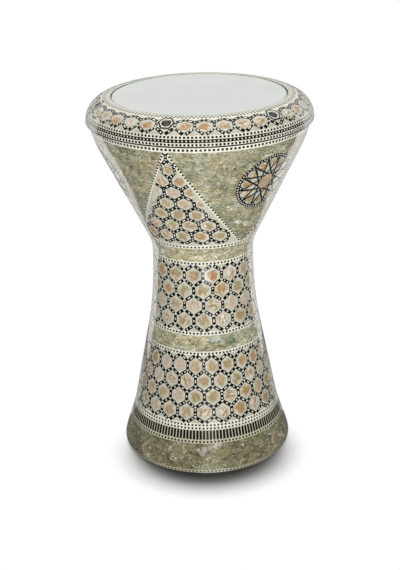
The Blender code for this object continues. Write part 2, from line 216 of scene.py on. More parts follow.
def crushedPearl(name, tones, flake, streak, glints, swirls=(), accents=()):
    # shell crushed to flakes and laid flat in resin: each flake is streaked its own way, beige or grey-green,
    # with thin dark filler in the cracks, and painted white glints as bright slivers where a flake would lie
    # level with the light
    material, add, shader = startMaterial(name, Roughness=0.35, **polyester)
    place = objectPlace(add)
    drift = noise(add, place, flake * 0.8, 4.0, 0.6)
    push = vectors(add, "SCALE", drift.outputs["Color"], Scale=flake * 1.5 * mm)
    bent = add("Mapping", vectors(add, "ADD", place, push), Scale=(1, 1, 1.7))
    flakes = add("TexVoronoi", bent, Scale=1 / (flake * mm))
    edges = add("TexVoronoi", bent, feature="DISTANCE_TO_EDGE", Scale=1 / (flake * mm))
    tone = add("SeparateColor", flakes.outputs["Color"]).outputs
    # round the drum and up from the flake's own middle, so that its streaks lie in the surface
    middle = add("SeparateXYZ", flakes.outputs["Position"]).outputs
    level = add("CombineXYZ", maths(add, "MULTIPLY", middle["Y"], -1.0), middle["X"])
    off = vectors(add, "SUBTRACT", bent, flakes.outputs["Position"])
    across = vectors(add, "DOT_PRODUCT", off, vectors(add, "NORMALIZE", level))
    flat = add("CombineXYZ", across, add("SeparateXYZ", off).outputs["Z"], tone["Green"])
    lean = add("MapRange", tone["Red"], 0.0, 1.0, 0.9, 2.2)
    turned = add("VectorRotate", flat, Angle=lean, rotation_type="Z_AXIS")
    drawn = add("Mapping", turned, Scale=(1, 0.16, 1))
    streaks = noise(add, drawn, streak, 4.0, 0.72)
    # streaks carry most of the contrast, then the flakes, then slow clouds over the whole bowl
    shine = maths(add, "MULTIPLY_ADD", streaks, 3.3, -1.5)
    shine = maths(add, "MULTIPLY_ADD", tone["Blue"], 0.22, shine)
    shine = maths(add, "MULTIPLY_ADD", noise(add, place, 30, 2.0), 0.5, shine)
    tint = ramp(add, tone["Green"], (0.0, "#ECF4E6"), (0.2, "#FFF9E8"), (0.42, "#FFF3DF"), (0.6, "#FCF8F0"),
                (0.8, "#F4F6EE"), (0.93, "#E6EEEC"), (0.99, "#E0EAE4"), (0.996, "#A4C8BA"))
    tinted = mixed(add, 1.0, ramp(add, shine, *tones), tint, "MULTIPLY")
    gap = add("MapRange", edges, 0.0, 0.06, 0.55, 0.0)
    cracked = mixed(add, gap, tinted, "#55523E")
    # painted glints: white slivers painted into the colour of a share of the flakes
    sharp = add("MapRange", noise(add, drawn, streak * 1.3, 1.0), 0.58, 0.66)
    paintedGlintFlakes = add("MapRange", tone["Blue"], 1 - glints, 1.02 - glints * 0.8)
    colourWithPaintedGlints = mixed(add, maths(add, "MULTIPLY", sharp, paintedGlintFlakes), cracked, "#F2EEE6")
    for *spot, reach in swirls:
        colourWithPaintedGlints = pearlSwirl(add, colourWithPaintedGlints, place, drift, spot, reach)
    for *spot, reach, colour in accents:
        colourWithPaintedGlints = pearlAccent(add, colourWithPaintedGlints, place, drift, spot, reach, colour)
    fillInputs(shader, Base_Color=colourWithPaintedGlints)
    addRelief(add, shader, streaks, 0.4, 0.3)
    return material


def awayFrom(add, place, drift, spot, wobble):
    # distance to a spot on the body, given by its azimuth and height, as ragged as the wobble in mm
    azimuth, height = spot
    turn = math.radians(azimuth)
    radius = radiusAt(body, height)
    centre = (radius * math.sin(turn) * mm, -radius * math.cos(turn) * mm, height * mm)
    push = vectors(add, "SCALE", drift.outputs["Color"], Scale=wobble * mm)
    moved = tuple(value + wobble / 2 * mm for value in centre)
    return vectors(add, "DISTANCE", vectors(add, "ADD", place, push), moved)


def pearlAccent(add, ground, place, drift, spot, reach, colour):
    # one spot with a colour of its own, its outline as ragged as the rest; a white one is a painted glint
    away = awayFrom(add, place, drift, spot, reach * 1.4)
    inside = add("MapRange", away, reach * mm, reach * 0.55 * mm, 0.0, 0.85 - 0.06 * reach)
    return mixed(add, inside, ground, colour)


def pearlSwirl(add, ground, place, drift, spot, reach):
    # one whole disc of shell: a quieter middle, and a rim broken into pale pink slivers
    away = awayFrom(add, place, drift, spot, 7)
    inside = add("MapRange", away, reach * mm, (reach - 3) * mm, 0.0, 0.55)
    quiet = mixed(add, inside, ground, "#928C70")
    off = maths(add, "ABSOLUTE", maths(add, "SUBTRACT", away, reach * mm))
    rim = add("MapRange", off, 2.4 * mm, 0.8 * mm)
    broken = add("MapRange", noise(add, place, 2.6, 3.0, 0.65), 0.49, 0.6, 0.0, 0.8)
    return mixed(add, maths(add, "MULTIPLY", rim, broken), quiet, "#E6D8CE")


def cutPearl(name):
    # one cell sawn from a shell: pale nacre round a stained, streaky heart, and here and there a painted
    # white glint
    material, add, shader = startMaterial(name, Roughness=0.3, **polyester)
    local = add("UVMap", uv_map="cellPlace")
    tone = add("Attribute", attribute_name="tone").outputs["Fac"]
    own = maths(add, "MULTIPLY", tone, 90.0)
    cell = vectors(add, "ADD", local, add("CombineXYZ", Z=own))
    turned = add("VectorRotate", cell, Angle=own, rotation_type="Z_AXIS")
    streaks = add("TexNoise", add("Mapping", turned, Scale=(1, 0.3, 1)), Scale=5.5, Detail=4.0, Roughness=0.6)
    ripple = add("TexNoise", cell, Scale=1.8, Detail=4.0)
    ragged = maths(add, "MULTIPLY_ADD", ripple, 0.9, vectors(add, "LENGTH", local))
    ragged = maths(add, "MULTIPLY_ADD", streaks, 0.5, ragged)
    heart = smooth(add, ragged, 1.5, 1.1, 0.86)
    hue = ramp(add, tone, (0.0, "#A8966A"), (0.13, "#AA874E"), (0.27, "#B58243"), (0.4, "#9E8C58"),
               (0.52, "#BAA280"), (0.64, "#CBB6A6"), (0.76, "#B39D6C"), (0.88, "#AC834C"), (1.0, "#A49466"))
    vein = ramp(add, streaks, (0.3, "#B09A72"), (0.44, "#EBE3CF"), (0.54, "#FFFFFF"))
    nacre = ramp(add, ripple, (0.32, "#BBB8A3"), (0.5, "#C8C5B2"), (0.68, "#D2CEC0"))
    stained = mixed(add, heart, nacre, mixed(add, 0.75, hue, vein, "MULTIPLY"))
    # painted glints: in about a third of the cells the heart's streaks are painted white, where the shell's
    # layers would lie level with the light and flash
    luck = add("TexWhiteNoise", W=own, noise_dimensions="1D")
    bright = maths(add, "ADD", streaks, add("MapRange", luck, 0.62, 0.9, 0.0, 0.12))
    paintedGlintMask = maths(add, "MULTIPLY", add("MapRange", bright, 0.61, 0.68), heart)
    fillInputs(shader, Base_Color=mixed(add, paintedGlintMask, stained, "#F3ECE6"))
    addRelief(add, shader, streaks, 0.3, 0.3)
    return material


def castMetal(name):
    # sand-cast aluminium as it leaves the mould: dull grey with a grain
    material, add, shader = startMaterial(name, Metallic=1.0, Roughness=0.5)
    grain = noise(add, objectPlace(add), 1.2, 5.0)
    fillInputs(shader, Base_Color=ramp(add, grain, (0.3, "#B2B3B4"), (0.7, "#D4D5D6")),
               Roughness=add("MapRange", grain, 0.0, 1.0, 0.42, 0.6))
    addRelief(add, shader, grain, 0.5, 0.15)
    return material


def blackChrome(name):
    # steel under black chrome plate: dark mirror, rubbed a little brighter in patches by the hex key
    material, add, shader = startMaterial(name, Metallic=1.0, Roughness=0.28)
    rub = noise(add, objectPlace(add), 2.5, 4.0)
    fillInputs(shader, Base_Color=ramp(add, rub, (0.35, "#8E8E91"), (0.7, "#C6C6CA")),
               Roughness=add("MapRange", rub, 0.0, 1.0, 0.22, 0.36))
    return material


def petFilm(name):
    # milky polyester drumhead film: pale, satin, faintly clouded
    material, add, shader = startMaterial(name, Roughness=0.38, IOR=1.57)
    place = objectPlace(add)
    fillInputs(shader, Base_Color=ramp(add, noise(add, place, 45, 3.0), (0.3, "#D0D4D1"), (0.7, "#D6DAD7")))
    addRelief(add, shader, noise(add, place, 0.8, 2.0), 0.08, 0.05)
    return material


# The drum's outline, in mm, as it was turned: radius and height of each curve

bodyShape = {
    "rim": (95.0, 0.0),
    "bulge": (103.8, 11.0),
    "flare": (88.2, 63.7),
    "taper": (69.2, 159.85),
    "neck": (60.5, 261.2),
    "waist": (61.5, 271.2),
    "shoulder": (129.8, 418.3),
    "shoulderRound": 32.0,
    "shoulderAngle": 11.4,
    "waistSoftening": 6.0,  # how widely the corner between waist and bowl is rounded
    "skin": 1.5,
    "steps": 40,
}
bandHeights = {
    "foot_rim_strip": 5.6,
    "foot_mosaic": 31.0,
    "key_lower_strip": 4.6,
    "key_band": 10.4,
    "key_upper_strip": 8.6,
    "foot_honeycomb": 81.6,
    "neck_lower_strip": 4.6,
    "neck_mosaic": 18.7,
    "neck_upper_strip": 4.6,
    "neck_honeycomb": 81.6,
    "waist_strip": 4.6,
    "waist_mosaic": 17.1,
    "bowl_base_strip": 4.9,
    "bowl_panels": 128.5,
    "bowl_top_strip": 5.4,
}
firstBand = 2.0
bandGap = 0.3

ringShape = {
    "lip": 103.3,
    "side": 133.4,
    "floor": 419.3,
    "turn": 421.0,
    "rise": 27.0,
    "lipDepth": 10.2,
    "skin": 1.2,
    "core": 1.5,
    "steps": 400,
}
ringBands = {
    "ring_lower_strip": 5.3,
    "ring_black_band": 3.5,
    "ring_outer_strip": 4.1,
    "ring_honeycomb": 20.19,
    "ring_inner_strip": 12.2,
}


def stackBands(widths, start, scale=1.0):
    # where each band starts and ends, one after the other with a gap between
    spans = {}
    for name, width in widths.items():
        spans[name] = (start * scale, (start + width) * scale)
        start += width + bandGap
    return spans


def bezierPoint(a, b, c, d, t):
    return tuple(
        (1 - t) ** 3 * p + 3 * t * (1 - t) ** 2 * q + 3 * t * t * (1 - t) * r + t ** 3 * s
        for p, q, r, s in zip(a, b, c, d)
    )


def quarterTurn(centre, radius, steps):
    # corners of a quarter circle that starts outwards and ends upwards
    angles = [math.pi / 2 * step / steps for step in range(steps + 1)]
    return [(centre[0] + radius * math.cos(angle), centre[1] + radius * math.sin(angle)) for angle in angles]


def bodyPoints(shape):
    rim, bulge, flare, taper = (shape[k] for k in ("rim", "bulge", "flare", "taper"))
    neck, waist, shoulder = (shape[k] for k in ("neck", "waist", "shoulder"))
    steps = shape["steps"]
    lean = (flare[0] - taper[0]) / (taper[1] - flare[1])
    points = []
    for step in range(steps):
        angle = math.pi / 2 * step / steps
        points.append((rim[0] + (bulge[0] - rim[0]) * math.sin(angle), bulge[1] * (1 - math.cos(angle))))
    run = flare[1] - bulge[1]
    lower = (bulge, (bulge[0] - 0.025 * run, bulge[1] + 0.21 * run),
             (flare[0] + lean * 0.34 * run, flare[1] - 0.34 * run), flare)
    points += [bezierPoint(*lower, step / steps) for step in range(steps)]
    points += [flare]
    run = neck[1] - taper[1]
    upper = (taper, (taper[0] - lean * 0.3 * run, taper[1] + 0.3 * run),
             (neck[0], neck[1] - 0.37 * run), neck)
    points += [bezierPoint(*upper, step / steps) for step in range(steps + 1)]
    points += [waist]
    half = shape["shoulderRound"] / 2
    end = math.tan(math.radians(shape["shoulderAngle"])) * half
    middle = (shoulder[0] - end, shoulder[1] - half)
    slope = (middle[0] - waist[0]) / (middle[1] - waist[1])
    start = (middle[0] - slope * half, middle[1] - half)
    for t in np.arange(21) / 20:
        points.append(tuple((1 - t) ** 2 * p + 2 * t * (1 - t) * q + t * t * r
                            for p, q, r in zip(start, middle, shoulder)))
    return np.array(points)


def outlineFrom(places, points):
    # a turned outline that can be read at any place along it, with its outward direction
    radius, height = points[:, 0], points[:, 1]
    alongRadius, alongHeight = np.gradient(radius), np.gradient(height)
    length = np.hypot(alongRadius, alongHeight)
    return {"place": places, "radius": radius, "height": height,
            "out": alongHeight / length, "up": -alongRadius / length}


def bodyOutline(shape):
    points = bodyPoints(shape)
    heights = np.arange(0.0, shape["shoulder"][1] + 0.01, 0.1)
    radii = np.interp(heights, points[:, 1], points[:, 0])
    # the bowl grows out of the waist without a corner
    soft = shape["waistSoftening"]
    reach = np.arange(-3 * soft, 3 * soft + 0.01, 0.1)
    weight = np.exp(-0.5 * (reach / soft) ** 2)
    padded = np.pad(radii, len(reach) // 2, mode="edge")
    softened = np.convolve(padded, weight / weight.sum(), mode="valid")
    share = np.exp(-0.5 * ((heights - shape["waist"][1]) / (3 * soft)) ** 2)
    radii = radii * (1 - share) + softened * share
    return outlineFrom(heights, np.column_stack([radii, heights]))


def ringOutline(shape):
    points = [(shape["side"], shape["floor"])]
    for angle in np.arange(shape["steps"] + 1) * (math.pi / 2 / shape["steps"]):
        points.append((shape["lip"] + (shape["side"] - shape["lip"]) * math.cos(angle),
                       shape["turn"] + shape["rise"] * math.sin(angle)))
    points = np.array(points)
    lengths = np.hypot(*np.diff(points, axis=0).T)
    return outlineFrom(np.concatenate([[0], np.cumsum(lengths)]), points)


def readOutline(outline, places):
    return [np.interp(places, outline["place"], outline[key]) for key in ("radius", "height", "out", "up")]


def radiusAt(outline, place):
    return float(np.interp(place, outline["place"], outline["radius"]))


body = bodyOutline(bodyShape)
bands = stackBands(bandHeights, firstBand)
ring = ringOutline(ringShape)
ringLength = ring["place"][-1]
stretchedBy = ringLength / (sum(ringBands.values()) + bandGap * (len(ringBands) - 1))
ringSpans = stackBands(ringBands, 0.0, stretchedBy)

print("materials")
# discs of whole shell in the foot's band: azimuth, height and radius of each
footSwirls = [(-22, 29, 9.5), (58, 22, 9.0), (97, 26, 7.5), (141, 20, 9.5),
              (186, 25, 8.0), (232, 22, 9.0), (281, 26, 8.0), (312, 19, 7.0)]
# spots that stand out from the rest: azimuth, height, radius and colour. On the bowl the teal and grey ones
# are flakes and the white ones are painted glints; on the neck they are pale green-white spots, and on the
# foot pink and pale flakes
bowlFlakesAndGlints = [(11.8, 339.5, 2.8, "#5F8677"), (18.4, 337.0, 2.1, "#F2F1EA"), (20.9, 334.0, 1.9, "#F0F0EC"),
               (9.0, 383.0, 2.2, "#A9B0AC"), (131.0, 352.0, 2.6, "#86A294"), (254.0, 331.0, 2.2, "#F0F0EA")]
neckAccents = [(12.0, 165.5, 6.5, "#D6DDD2"), (16.5, 161.5, 3.2, "#A8B8B5"), (7.5, 163.5, 3.0, "#B4C2BC"),
               (140.0, 163.0, 5.5, "#D6DDD2"), (255.0, 166.0, 4.0, "#A8B8B5")]
footAccents = [(-4.5, 27.5, 4.2, "#C6B2A9"), (-2.5, 32.5, 4.4, "#DCCCC4"), (1.8, 34.5, 4.4, "#CDBAB2"),
               (5.5, 36.0, 4.0, "#E6D9D2"), (9.0, 37.0, 3.2, "#D4C4BD"), (-6.5, 32.0, 2.6, "#E6D8D0"),
               (26.0, 32.5, 1.7, "#D3DEDD"), (100.0, 30.0, 2.6, "#CDBAB2"), (210.0, 31.0, 2.6, "#C2ADA4")]
pearlStops = (0.1, 0.28, 0.44, 0.6, 0.76, 0.94)
bowlTones = zip(pearlStops, ("#4E4C3A", "#7E7B64", "#9D9A82", "#AFAC95", "#C0BDA9", "#DCD9CB"))
# painted light: the neck and waist take a lighter copy of the crushed pearl, lifted in colour where less
# light reaches them
litNeckTones = zip(pearlStops, ("#68654E", "#959278", "#B2AF94", "#C3C0A7", "#D6D3BF", "#F2EFE4"))
# painted shade: the foot takes a darker copy of the crushed pearl, darkened in colour as the light falls off
# towards the floor
shadedFootTones = zip(pearlStops, ("#47432F", "#69654C", "#807B61", "#938E73", "#A8A48A", "#C6C2AD"))
fieldNacre = mottled("mother of pearl field", "#BAB8A4", "#CAC8B7", 9, 0.35, 0.2)
boneStrip = mottled("bone strip", "#E2DFCC", "#F0EDDF", 6, 0.4)
# painted shade: a darker copy of the bone strip for the foot's lowest strips and the key band, where less
# light falls
shadedBone = mottled("bone strip, painted shade", "#C2BEA2", "#D0CCB3", 6, 0.4)
blackResin = mottled("black resin", "#0A0A08", "#12110E", 3, 0.35)
bowlPearl = crushedPearl("crushed pearl", bowlTones, 8.0, 1.5, 0.12, (), bowlFlakesAndGlints)
litNeckPearl = crushedPearl("crushed pearl, painted light", litNeckTones, 9.5, 1.8, 0.22, (), neckAccents)
shadedFootPearl = crushedPearl("crushed pearl, painted shade", shadedFootTones, 8.5, 1.5, 0.1, footSwirls, footAccents)
pearlCell = cutPearl("cut mother of pearl")
aluminium = castMetal("cast aluminium")
darkChrome = blackChrome("black chrome")
headFilm = petFilm("milky polyester film")

# Turned pieces: a ring of points set to the section, then spun round the drum's axis

turning = {"segments": 160, "boltSegments": 48, "bodyStep": 2.4, "ringStep": 1.2}


def turnedPiece(section, segments=turning["segments"]):
    # section runs round the cut face; a section that starts and ends on the axis closes there
    piece = addShape("circle", vertices=len(section), radius=mm)
    for corner, (radius, height) in zip(piece.data.vertices, section):
        corner.co = (radius * mm, 0, height * mm)
    startEdit(piece)
    bpy.ops.mesh.spin(steps=segments, angle=2 * math.pi, center=(0, 0, 0), axis=(0, 0, 1))
    bpy.ops.mesh.select_all(action="SELECT")
    bpy.ops.mesh.remove_doubles(threshold=0.002 * mm)
    bpy.ops.mesh.dissolve_degenerate(threshold=0.001 * mm)
    bpy.ops.mesh.select_all(action="SELECT")
    bpy.ops.mesh.normals_make_consistent(inside=False)
    bpy.ops.object.mode_set(mode="OBJECT")
    bpy.ops.object.shade_smooth_by_angle(angle=smoothAngle)
    return piece


def skinSection(outline, start, end, count, depth, proud=0.0):
    radius, height, out, up = readOutline(outline, np.linspace(start, end, count))
    outer = list(zip(radius + proud * out, height + proud * up))
    inner = list(zip(radius - depth * out, height - depth * up))
    return outer + inner[::-1]


def bodySkin(node, material, slot):
    low, high = bands[node][0] - bandGap / 2, bands[node][1] + bandGap / 2
    count = max(2, round((high - low) / turning["bodyStep"]) + 1)
    piece = turnedPiece(skinSection(body, low, high, count, bodyShape["skin"]))
    finishPiece(piece, pieceName(node), material, "drum", slot, [node])


def pieceName(node):
    first, *rest = node.split("_")
    return first + "".join(word.capitalize() for word in rest)


# Small inlay tiles: one is modelled flat, and copies of it are laid out and wrapped onto the drum

tileSetup = {"thickness": 0.45, "proud": 0.06}


def readTile(piece, proud=None):
    # the flat tile's corners in mm, lowered so that it stands proud of the skin by a hair
    bpy.ops.object.mode_set(mode="OBJECT")
    mesh = piece.data
    points = np.array([corner.co[:] for corner in mesh.vertices])
    points[:, 2] += (tileSetup["proud"] if proud is None else proud) - points[:, 2].max()
    tile = {
        "points": points,
        "faces": [tuple(face.vertices) for face in mesh.polygons],
        "tops": [face.normal.z > 0.9 for face in mesh.polygons],
    }
    bpy.data.objects.remove(piece)
    bpy.data.meshes.remove(mesh)
    return tile


def thicken(piece, height=tileSetup["thickness"]):
    startEdit(piece)
    bpy.ops.mesh.extrude_region_move(TRANSFORM_OT_translate={"value": (0, 0, height)})
    bpy.ops.mesh.select_all(action="SELECT")
    bpy.ops.mesh.normals_make_consistent(inside=False)
    bpy.ops.object.mode_set(mode="OBJECT")


def plainTile(width, height, cuts=0, proud=None):
    piece = addShape("plane", size=1)
    for corner in piece.data.vertices:
        corner.co = (corner.co.x * width, corner.co.y * height, 0)
    if cuts:
        startEdit(piece)
        bpy.ops.mesh.subdivide(number_cuts=cuts)
    thicken(piece)
    return readTile(piece, proud)


def cellTile():
    # a hexagon with its first corner up, cut finely enough to bend round the drum
    piece = addShape("circle", vertices=6, radius=1, fill_type="TRIFAN")
    rim = [corner for corner in piece.data.vertices if corner.co.length > 0.5]
    for index, corner in enumerate(rim):
        angle = math.pi / 2 + 2 * math.pi * index / 6
        corner.co = (math.cos(angle), math.sin(angle), 0)
    startEdit(piece)
    bpy.ops.mesh.subdivide(number_cuts=2)
    thicken(piece)
    return readTile(piece)


def layTiles(name, tile, places, wrap, material, body="drum", slot="pearl_honeycomb", heartScale=1.0):
    # places holds x, y, turn, width scale, height scale and tone for each copy
    corners, faces, tops, local, tones = [], [], [], [], []
    reach = np.abs(tile["points"][:, :2]).max() / heartScale
    for x, y, turn, wide, high, tone in places:
        first = len(corners) * len(tile["points"])
        flat = tile["points"] * (wide, high, 1)
        c, s = math.cos(turn), math.sin(turn)
        corners.append(np.column_stack([x + c * flat[:, 0] - s * flat[:, 1],
                                        y + s * flat[:, 0] + c * flat[:, 1], flat[:, 2]]))
        faces += [tuple(first + index for index in face) for face in tile["faces"]]
        tops += tile["tops"]
        local.append(tile["points"][:, :2] / reach)
        tones += [tone] * len(flat)
    points, outward = wrap(np.vstack(corners))
    mesh = bpy.data.meshes.new(name)
    mesh.from_pydata((points * mm).tolist(), [], faces)
    piece = bpy.data.objects.new(name, mesh)
    bpy.context.collection.objects.link(piece)
    loopCorners = np.empty(len(mesh.loops), int)
    mesh.loops.foreach_get("vertex_index", loopCorners)
    cellPlace = mesh.uv_layers.new(name="cellPlace")
    cellPlace.data.foreach_set("uv", np.vstack(local)[loopCorners].ravel())
    toneValues = mesh.attributes.new("tone", "FLOAT", "POINT")
    toneValues.data.foreach_set("value", tones)
    smoothTops(mesh, np.array(tops), outward, loopCorners)
    return finishPiece(piece, name, material, body, slot)


def smoothTops(mesh, tops, outward, loopCorners):
    # top faces take the drum's own roundness, so that the clear coat reads as one surface
    mesh.shade_smooth()
    counts = np.array([face.loop_total for face in mesh.polygons])
    flat = np.empty(len(mesh.polygons) * 3)
    mesh.polygons.foreach_get("normal", flat)
    flat = np.repeat(flat.reshape(-1, 3), counts, axis=0)
    top = np.repeat(tops, counts)[:, None]
    mesh.normals_split_custom_set(np.where(top, outward[loopCorners], flat).tolist())


def onOutline(outline, azimuth=0.0, reference=None):
    # x is measured round the drum at the reference radius, or at each height's own radius if None
    def wrap(flat):
        radius, height, out, up = readOutline(outline, flat[:, 1])
        turn = math.radians(azimuth) + flat[:, 0] / (radius if reference is None else reference)
        spread = radius + flat[:, 2] * out
        points = np.column_stack([spread * np.sin(turn), -spread * np.cos(turn), height + flat[:, 2] * up])
        outward = np.column_stack([out * np.sin(turn), -out * np.cos(turn), up])
        return points, outward
    return wrap


# Dotted strips: a pale strip with a row of black squares

dotStrips = {
    "foot_rim_strip": {"rows": [3.0], "pitch": 4.6, "dot": 2.5},
    "key_lower_strip": {"rows": [1.9], "pitch": 4.5, "dot": 2.3},
    "key_upper_strip": {"rows": [2.0, 5.9], "pitch": 4.5, "dot": 2.2},
    "neck_lower_strip": {"rows": [2.1], "pitch": 4.42, "dot": 2.3},
    "neck_upper_strip": {"rows": [2.3], "pitch": 4.42, "dot": 2.3},
    "waist_strip": {"rows": [2.2], "pitch": 4.42, "dot": 2.3},
    "bowl_base_strip": {"rows": [2.3], "pitch": 4.47, "dot": 2.3},
    "bowl_top_strip": {"rows": [2.9], "pitch": 4.8, "dot": 2.7},
}


def layRow(name, outline, place, pitch, tile, material, body, slot, shift=0.0):
    # as many tiles as fit round the drum at this place, each a pitch from the next
    radius = radiusAt(outline, place)
    count = round(2 * math.pi * radius / pitch)
    places = [(2 * math.pi * radius * (index + shift) / count, place, 0.0, 1.0, 1.0, 0.0)
              for index in range(count)]
    layTiles(name, tile, places, onOutline(outline, 0.0, radius), material, body, slot)


def addBodyStrips():
    for node, strip in dotStrips.items():
        # the foot rim and lower key strips take the bone strip with painted shade
        material = shadedBone if node in ("foot_rim_strip", "key_lower_strip") else boneStrip
        bodySkin(node, material, "dotted_strip")
        for row, rise in enumerate(strip["rows"]):
            layRow(f"{pieceName(node)}Dots{row + 1}", body, bands[node][0] + rise, strip["pitch"],
                   plainTile(strip["dot"], strip["dot"]), blackResin, "drum", "dotted_strip")


def addMosaics():
    # the neck and waist mosaics take the crushed pearl with painted light, the foot's mosaic the one with
    # painted shade
    for node, material in (("foot_mosaic", shadedFootPearl), ("neck_mosaic", litNeckPearl),
                           ("waist_mosaic", litNeckPearl)):
        bodySkin(node, material, "pearl_mosaic")


# Key band: upright black bars on the pale strip

keyBars = {"pitch": 4.07, "width": 2.9, "height": 10.7, "lower": 0.25}


def addKeyBand():
    # the key band's ground is the bone strip with painted shade
    bodySkin("key_band", shadedBone, "black_inlay")
    place = sum(bands["key_band"]) / 2 - keyBars["lower"]
    tile = plainTile(keyBars["width"], keyBars["height"])
    layRow("keyBars", body, place, keyBars["pitch"], tile, blackResin, "drum", "black_inlay")


# Honeycombs: pale field, sawn pearl hexagons, and a black domino along most of each side

domino = {
    "length": 10.4,
    "width": 4.2,
    "endGap": 0.4,
    "paleEdge": 0.35,
    "spot": 1.45,
    "cellGap": 0.5,
    "edgeProud": 0.03,
    "spotRise": 0.05,
    # where the pale spots lie along a domino and how long each is, and how often that kind comes up
    "kinds": [([-2.4, 2.4], 1.6, 0.3), ([0.0], 2.1, 0.48), ([0.0], 3.8, 0.22)],
}


def sawnCells(name, spots, width, side, rise, wrap, body="drum"):
    # width is across the upright sides, which are side long; rise is how far the corners reach beyond them
    tile = cellTile()
    inset = domino["width"] / 2 + domino["cellGap"]
    wide = (width / 2 - inset) / math.cos(math.pi / 6)
    high = side / 2 + rise - inset * math.hypot(width / 2, rise) / (width / 2)
    places = [(x, y, 0.0, wide, high, chance.random()) for x, y in spots]
    layTiles(name, tile, places, wrap, pearlCell, body)


def layDominoes(name, edges, wrap, body="drum"):
    # each edge is (x, y, turn, length); its spots are pale at the ends or pale in the middle
    edging = plainTile(1.0, domino["width"] + 2 * domino["paleEdge"], 2, domino["edgeProud"])
    base = plainTile(1.0, domino["width"], 2)
    spot = plainTile(1.0, 1.0, 0, tileSetup["proud"] + domino["spotRise"])
    edgings, bases, spots = [], [], []
    kinds = domino["kinds"]
    for x, y, turn, length in edges:
        long = min(domino["length"], length - 2 * domino["endGap"])
        # short ones are cut slimmer too
        slim = min(1.0, 0.3 + long / 12.0)
        scale = min(1.0, long / 9.0)
        edgings.append((x, y, turn, long + 2 * domino["paleEdge"], slim, 0.0))
        bases.append((x, y, turn, long, slim, 0.0))
        shifts, spotLength, _ = chance.choices(kinds, [kind[2] for kind in kinds])[0]
        for shift in shifts:
            spots.append((x + shift * scale * math.cos(turn), y + shift * scale * math.sin(turn), turn,
                          spotLength * scale, domino["spot"] * slim, 0.0))
    layTiles(name + "Edges", edging, edgings, wrap, boneStrip, body)
    layTiles(name, base, bases, wrap, blackResin, body)
    layTiles(name + "Spots", spot, spots, wrap, boneStrip, body)


def sidesOf(corners, x=0.0, y=0.0):
    # middle, turn and length of each side of a closed outline
    sides = []
    for (ax, ay), (bx, by) in zip(corners, corners[1:] + corners[:1]):
        sides.append((x + (ax + bx) / 2, y + (ay + by) / 2, math.atan2(by - ay, bx - ax),
                      math.hypot(bx - ax, by - ay)))
    return sides


def hexagonEdges(x, y, width, side, rise, drop=None):
    # a hexagon that stands on its corner, with upright left and right sides; rise and drop are how far its
    # corners reach above and below those sides
    half = width / 2
    bottom = -side / 2 - (rise if drop is None else drop)
    return sidesOf([(half, -side / 2), (half, side / 2), (0, side / 2 + rise), (-half, side / 2),
                    (-half, -side / 2), (0, bottom)], x, y)


def uniqueEdges(edges, around=None):
    # a side shared by two hexagons is laid once; x wraps where the lattice goes right round
    kept = {}
    for x, y, turn, length in edges:
        spot = x % around if around else x
        key = (round(spot / 2.0) % round(around / 2.0) if around else round(x / 2.0), round(y / 2.0))
        near = [(key[0] + i, key[1] + j) for i in (-1, 0, 1) for j in (-1, 0, 1)]
        if not any(n in kept and math.hypot(closeAround(kept[n][0] - x, around), kept[n][1] - y) < 1.5
                   for n in near):
            kept[key] = (x, y, turn, length)
    return list(kept.values())


def closeAround(distance, around):
    return distance if not around else (distance + around / 2) % around - around / 2


honeycombs = {
    "neck_honeycomb": {"cells": 17, "rows": 4, "azimuth": -0.8, "rowStep": 18.75, "rise": 8.3},
    "foot_honeycomb": {"cells": 24, "rows": 4, "azimuth": -1.85, "rowStep": 18.75, "rise": 8.0},
}


def addHoneycomb(node, setup):
    bodySkin(node, fieldNacre, "pearl_honeycomb")
    middle = sum(bands[node]) / 2
    reference = radiusAt(body, middle)
    around = 2 * math.pi * reference
    width = around / setup["cells"]
    rowStep, rise = setup["rowStep"], setup["rise"]
    side = rowStep - rise
    spots, edges = [], []
    for row in range(setup["rows"]):
        y = middle + rowStep * (row - (setup["rows"] - 1) / 2)
        shift = 0.0 if row % 2 == 0 else width / 2
        for index in range(setup["cells"]):
            x = shift + width * index
            spots.append((x, y))
            edges += hexagonEdges(x, y, width, side, rise)
    wrap = onOutline(body, setup["azimuth"], reference)
    sawnCells(pieceName(node) + "Cells", spots, width, side, rise, wrap)
    layDominoes(pieceName(node) + "Dominoes", uniqueEdges(edges, around), wrap)


# Bowl: three fields of crushed pearl, three honeycomb triangles and three rosettes

bowl = {
    "panels": 3,
    "firstAzimuth": -17.7,
    "tipWidth": 5.0,
    "baseMargin": 3.0,
    "cellWidth": 21.5,
    "rowStep": 15.6,
    "cellRise": 6.4,
    "topRow": 390.4,
    "topCell": {"half": 7.6, "bottom": 378.6, "low": 387.4, "high": 394.4, "top": 402.6},
    "hanger": (4.6, 7.4),  # middle above the top cell, and length, of the domino that it hangs from
    "borderPitch": 4.3,
    "borderDot": 2.3,
    "borderStrip": 3.6,
    "grid": (40, 48),
}


def panelSpots(shift=0.0):
    for index in range(bowl["panels"]):
        yield index + 1, bowl["firstAzimuth"] + 360 / bowl["panels"] * (index + shift)


def triangleHalfWidth(height):
    low, high = bands["bowl_panels"]
    base = radiusAt(body, low) * math.pi / bowl["panels"] - bowl["baseMargin"]
    tip = bowl["tipWidth"] / 2
    return tip + (base - tip) * (high - height) / (high - low)


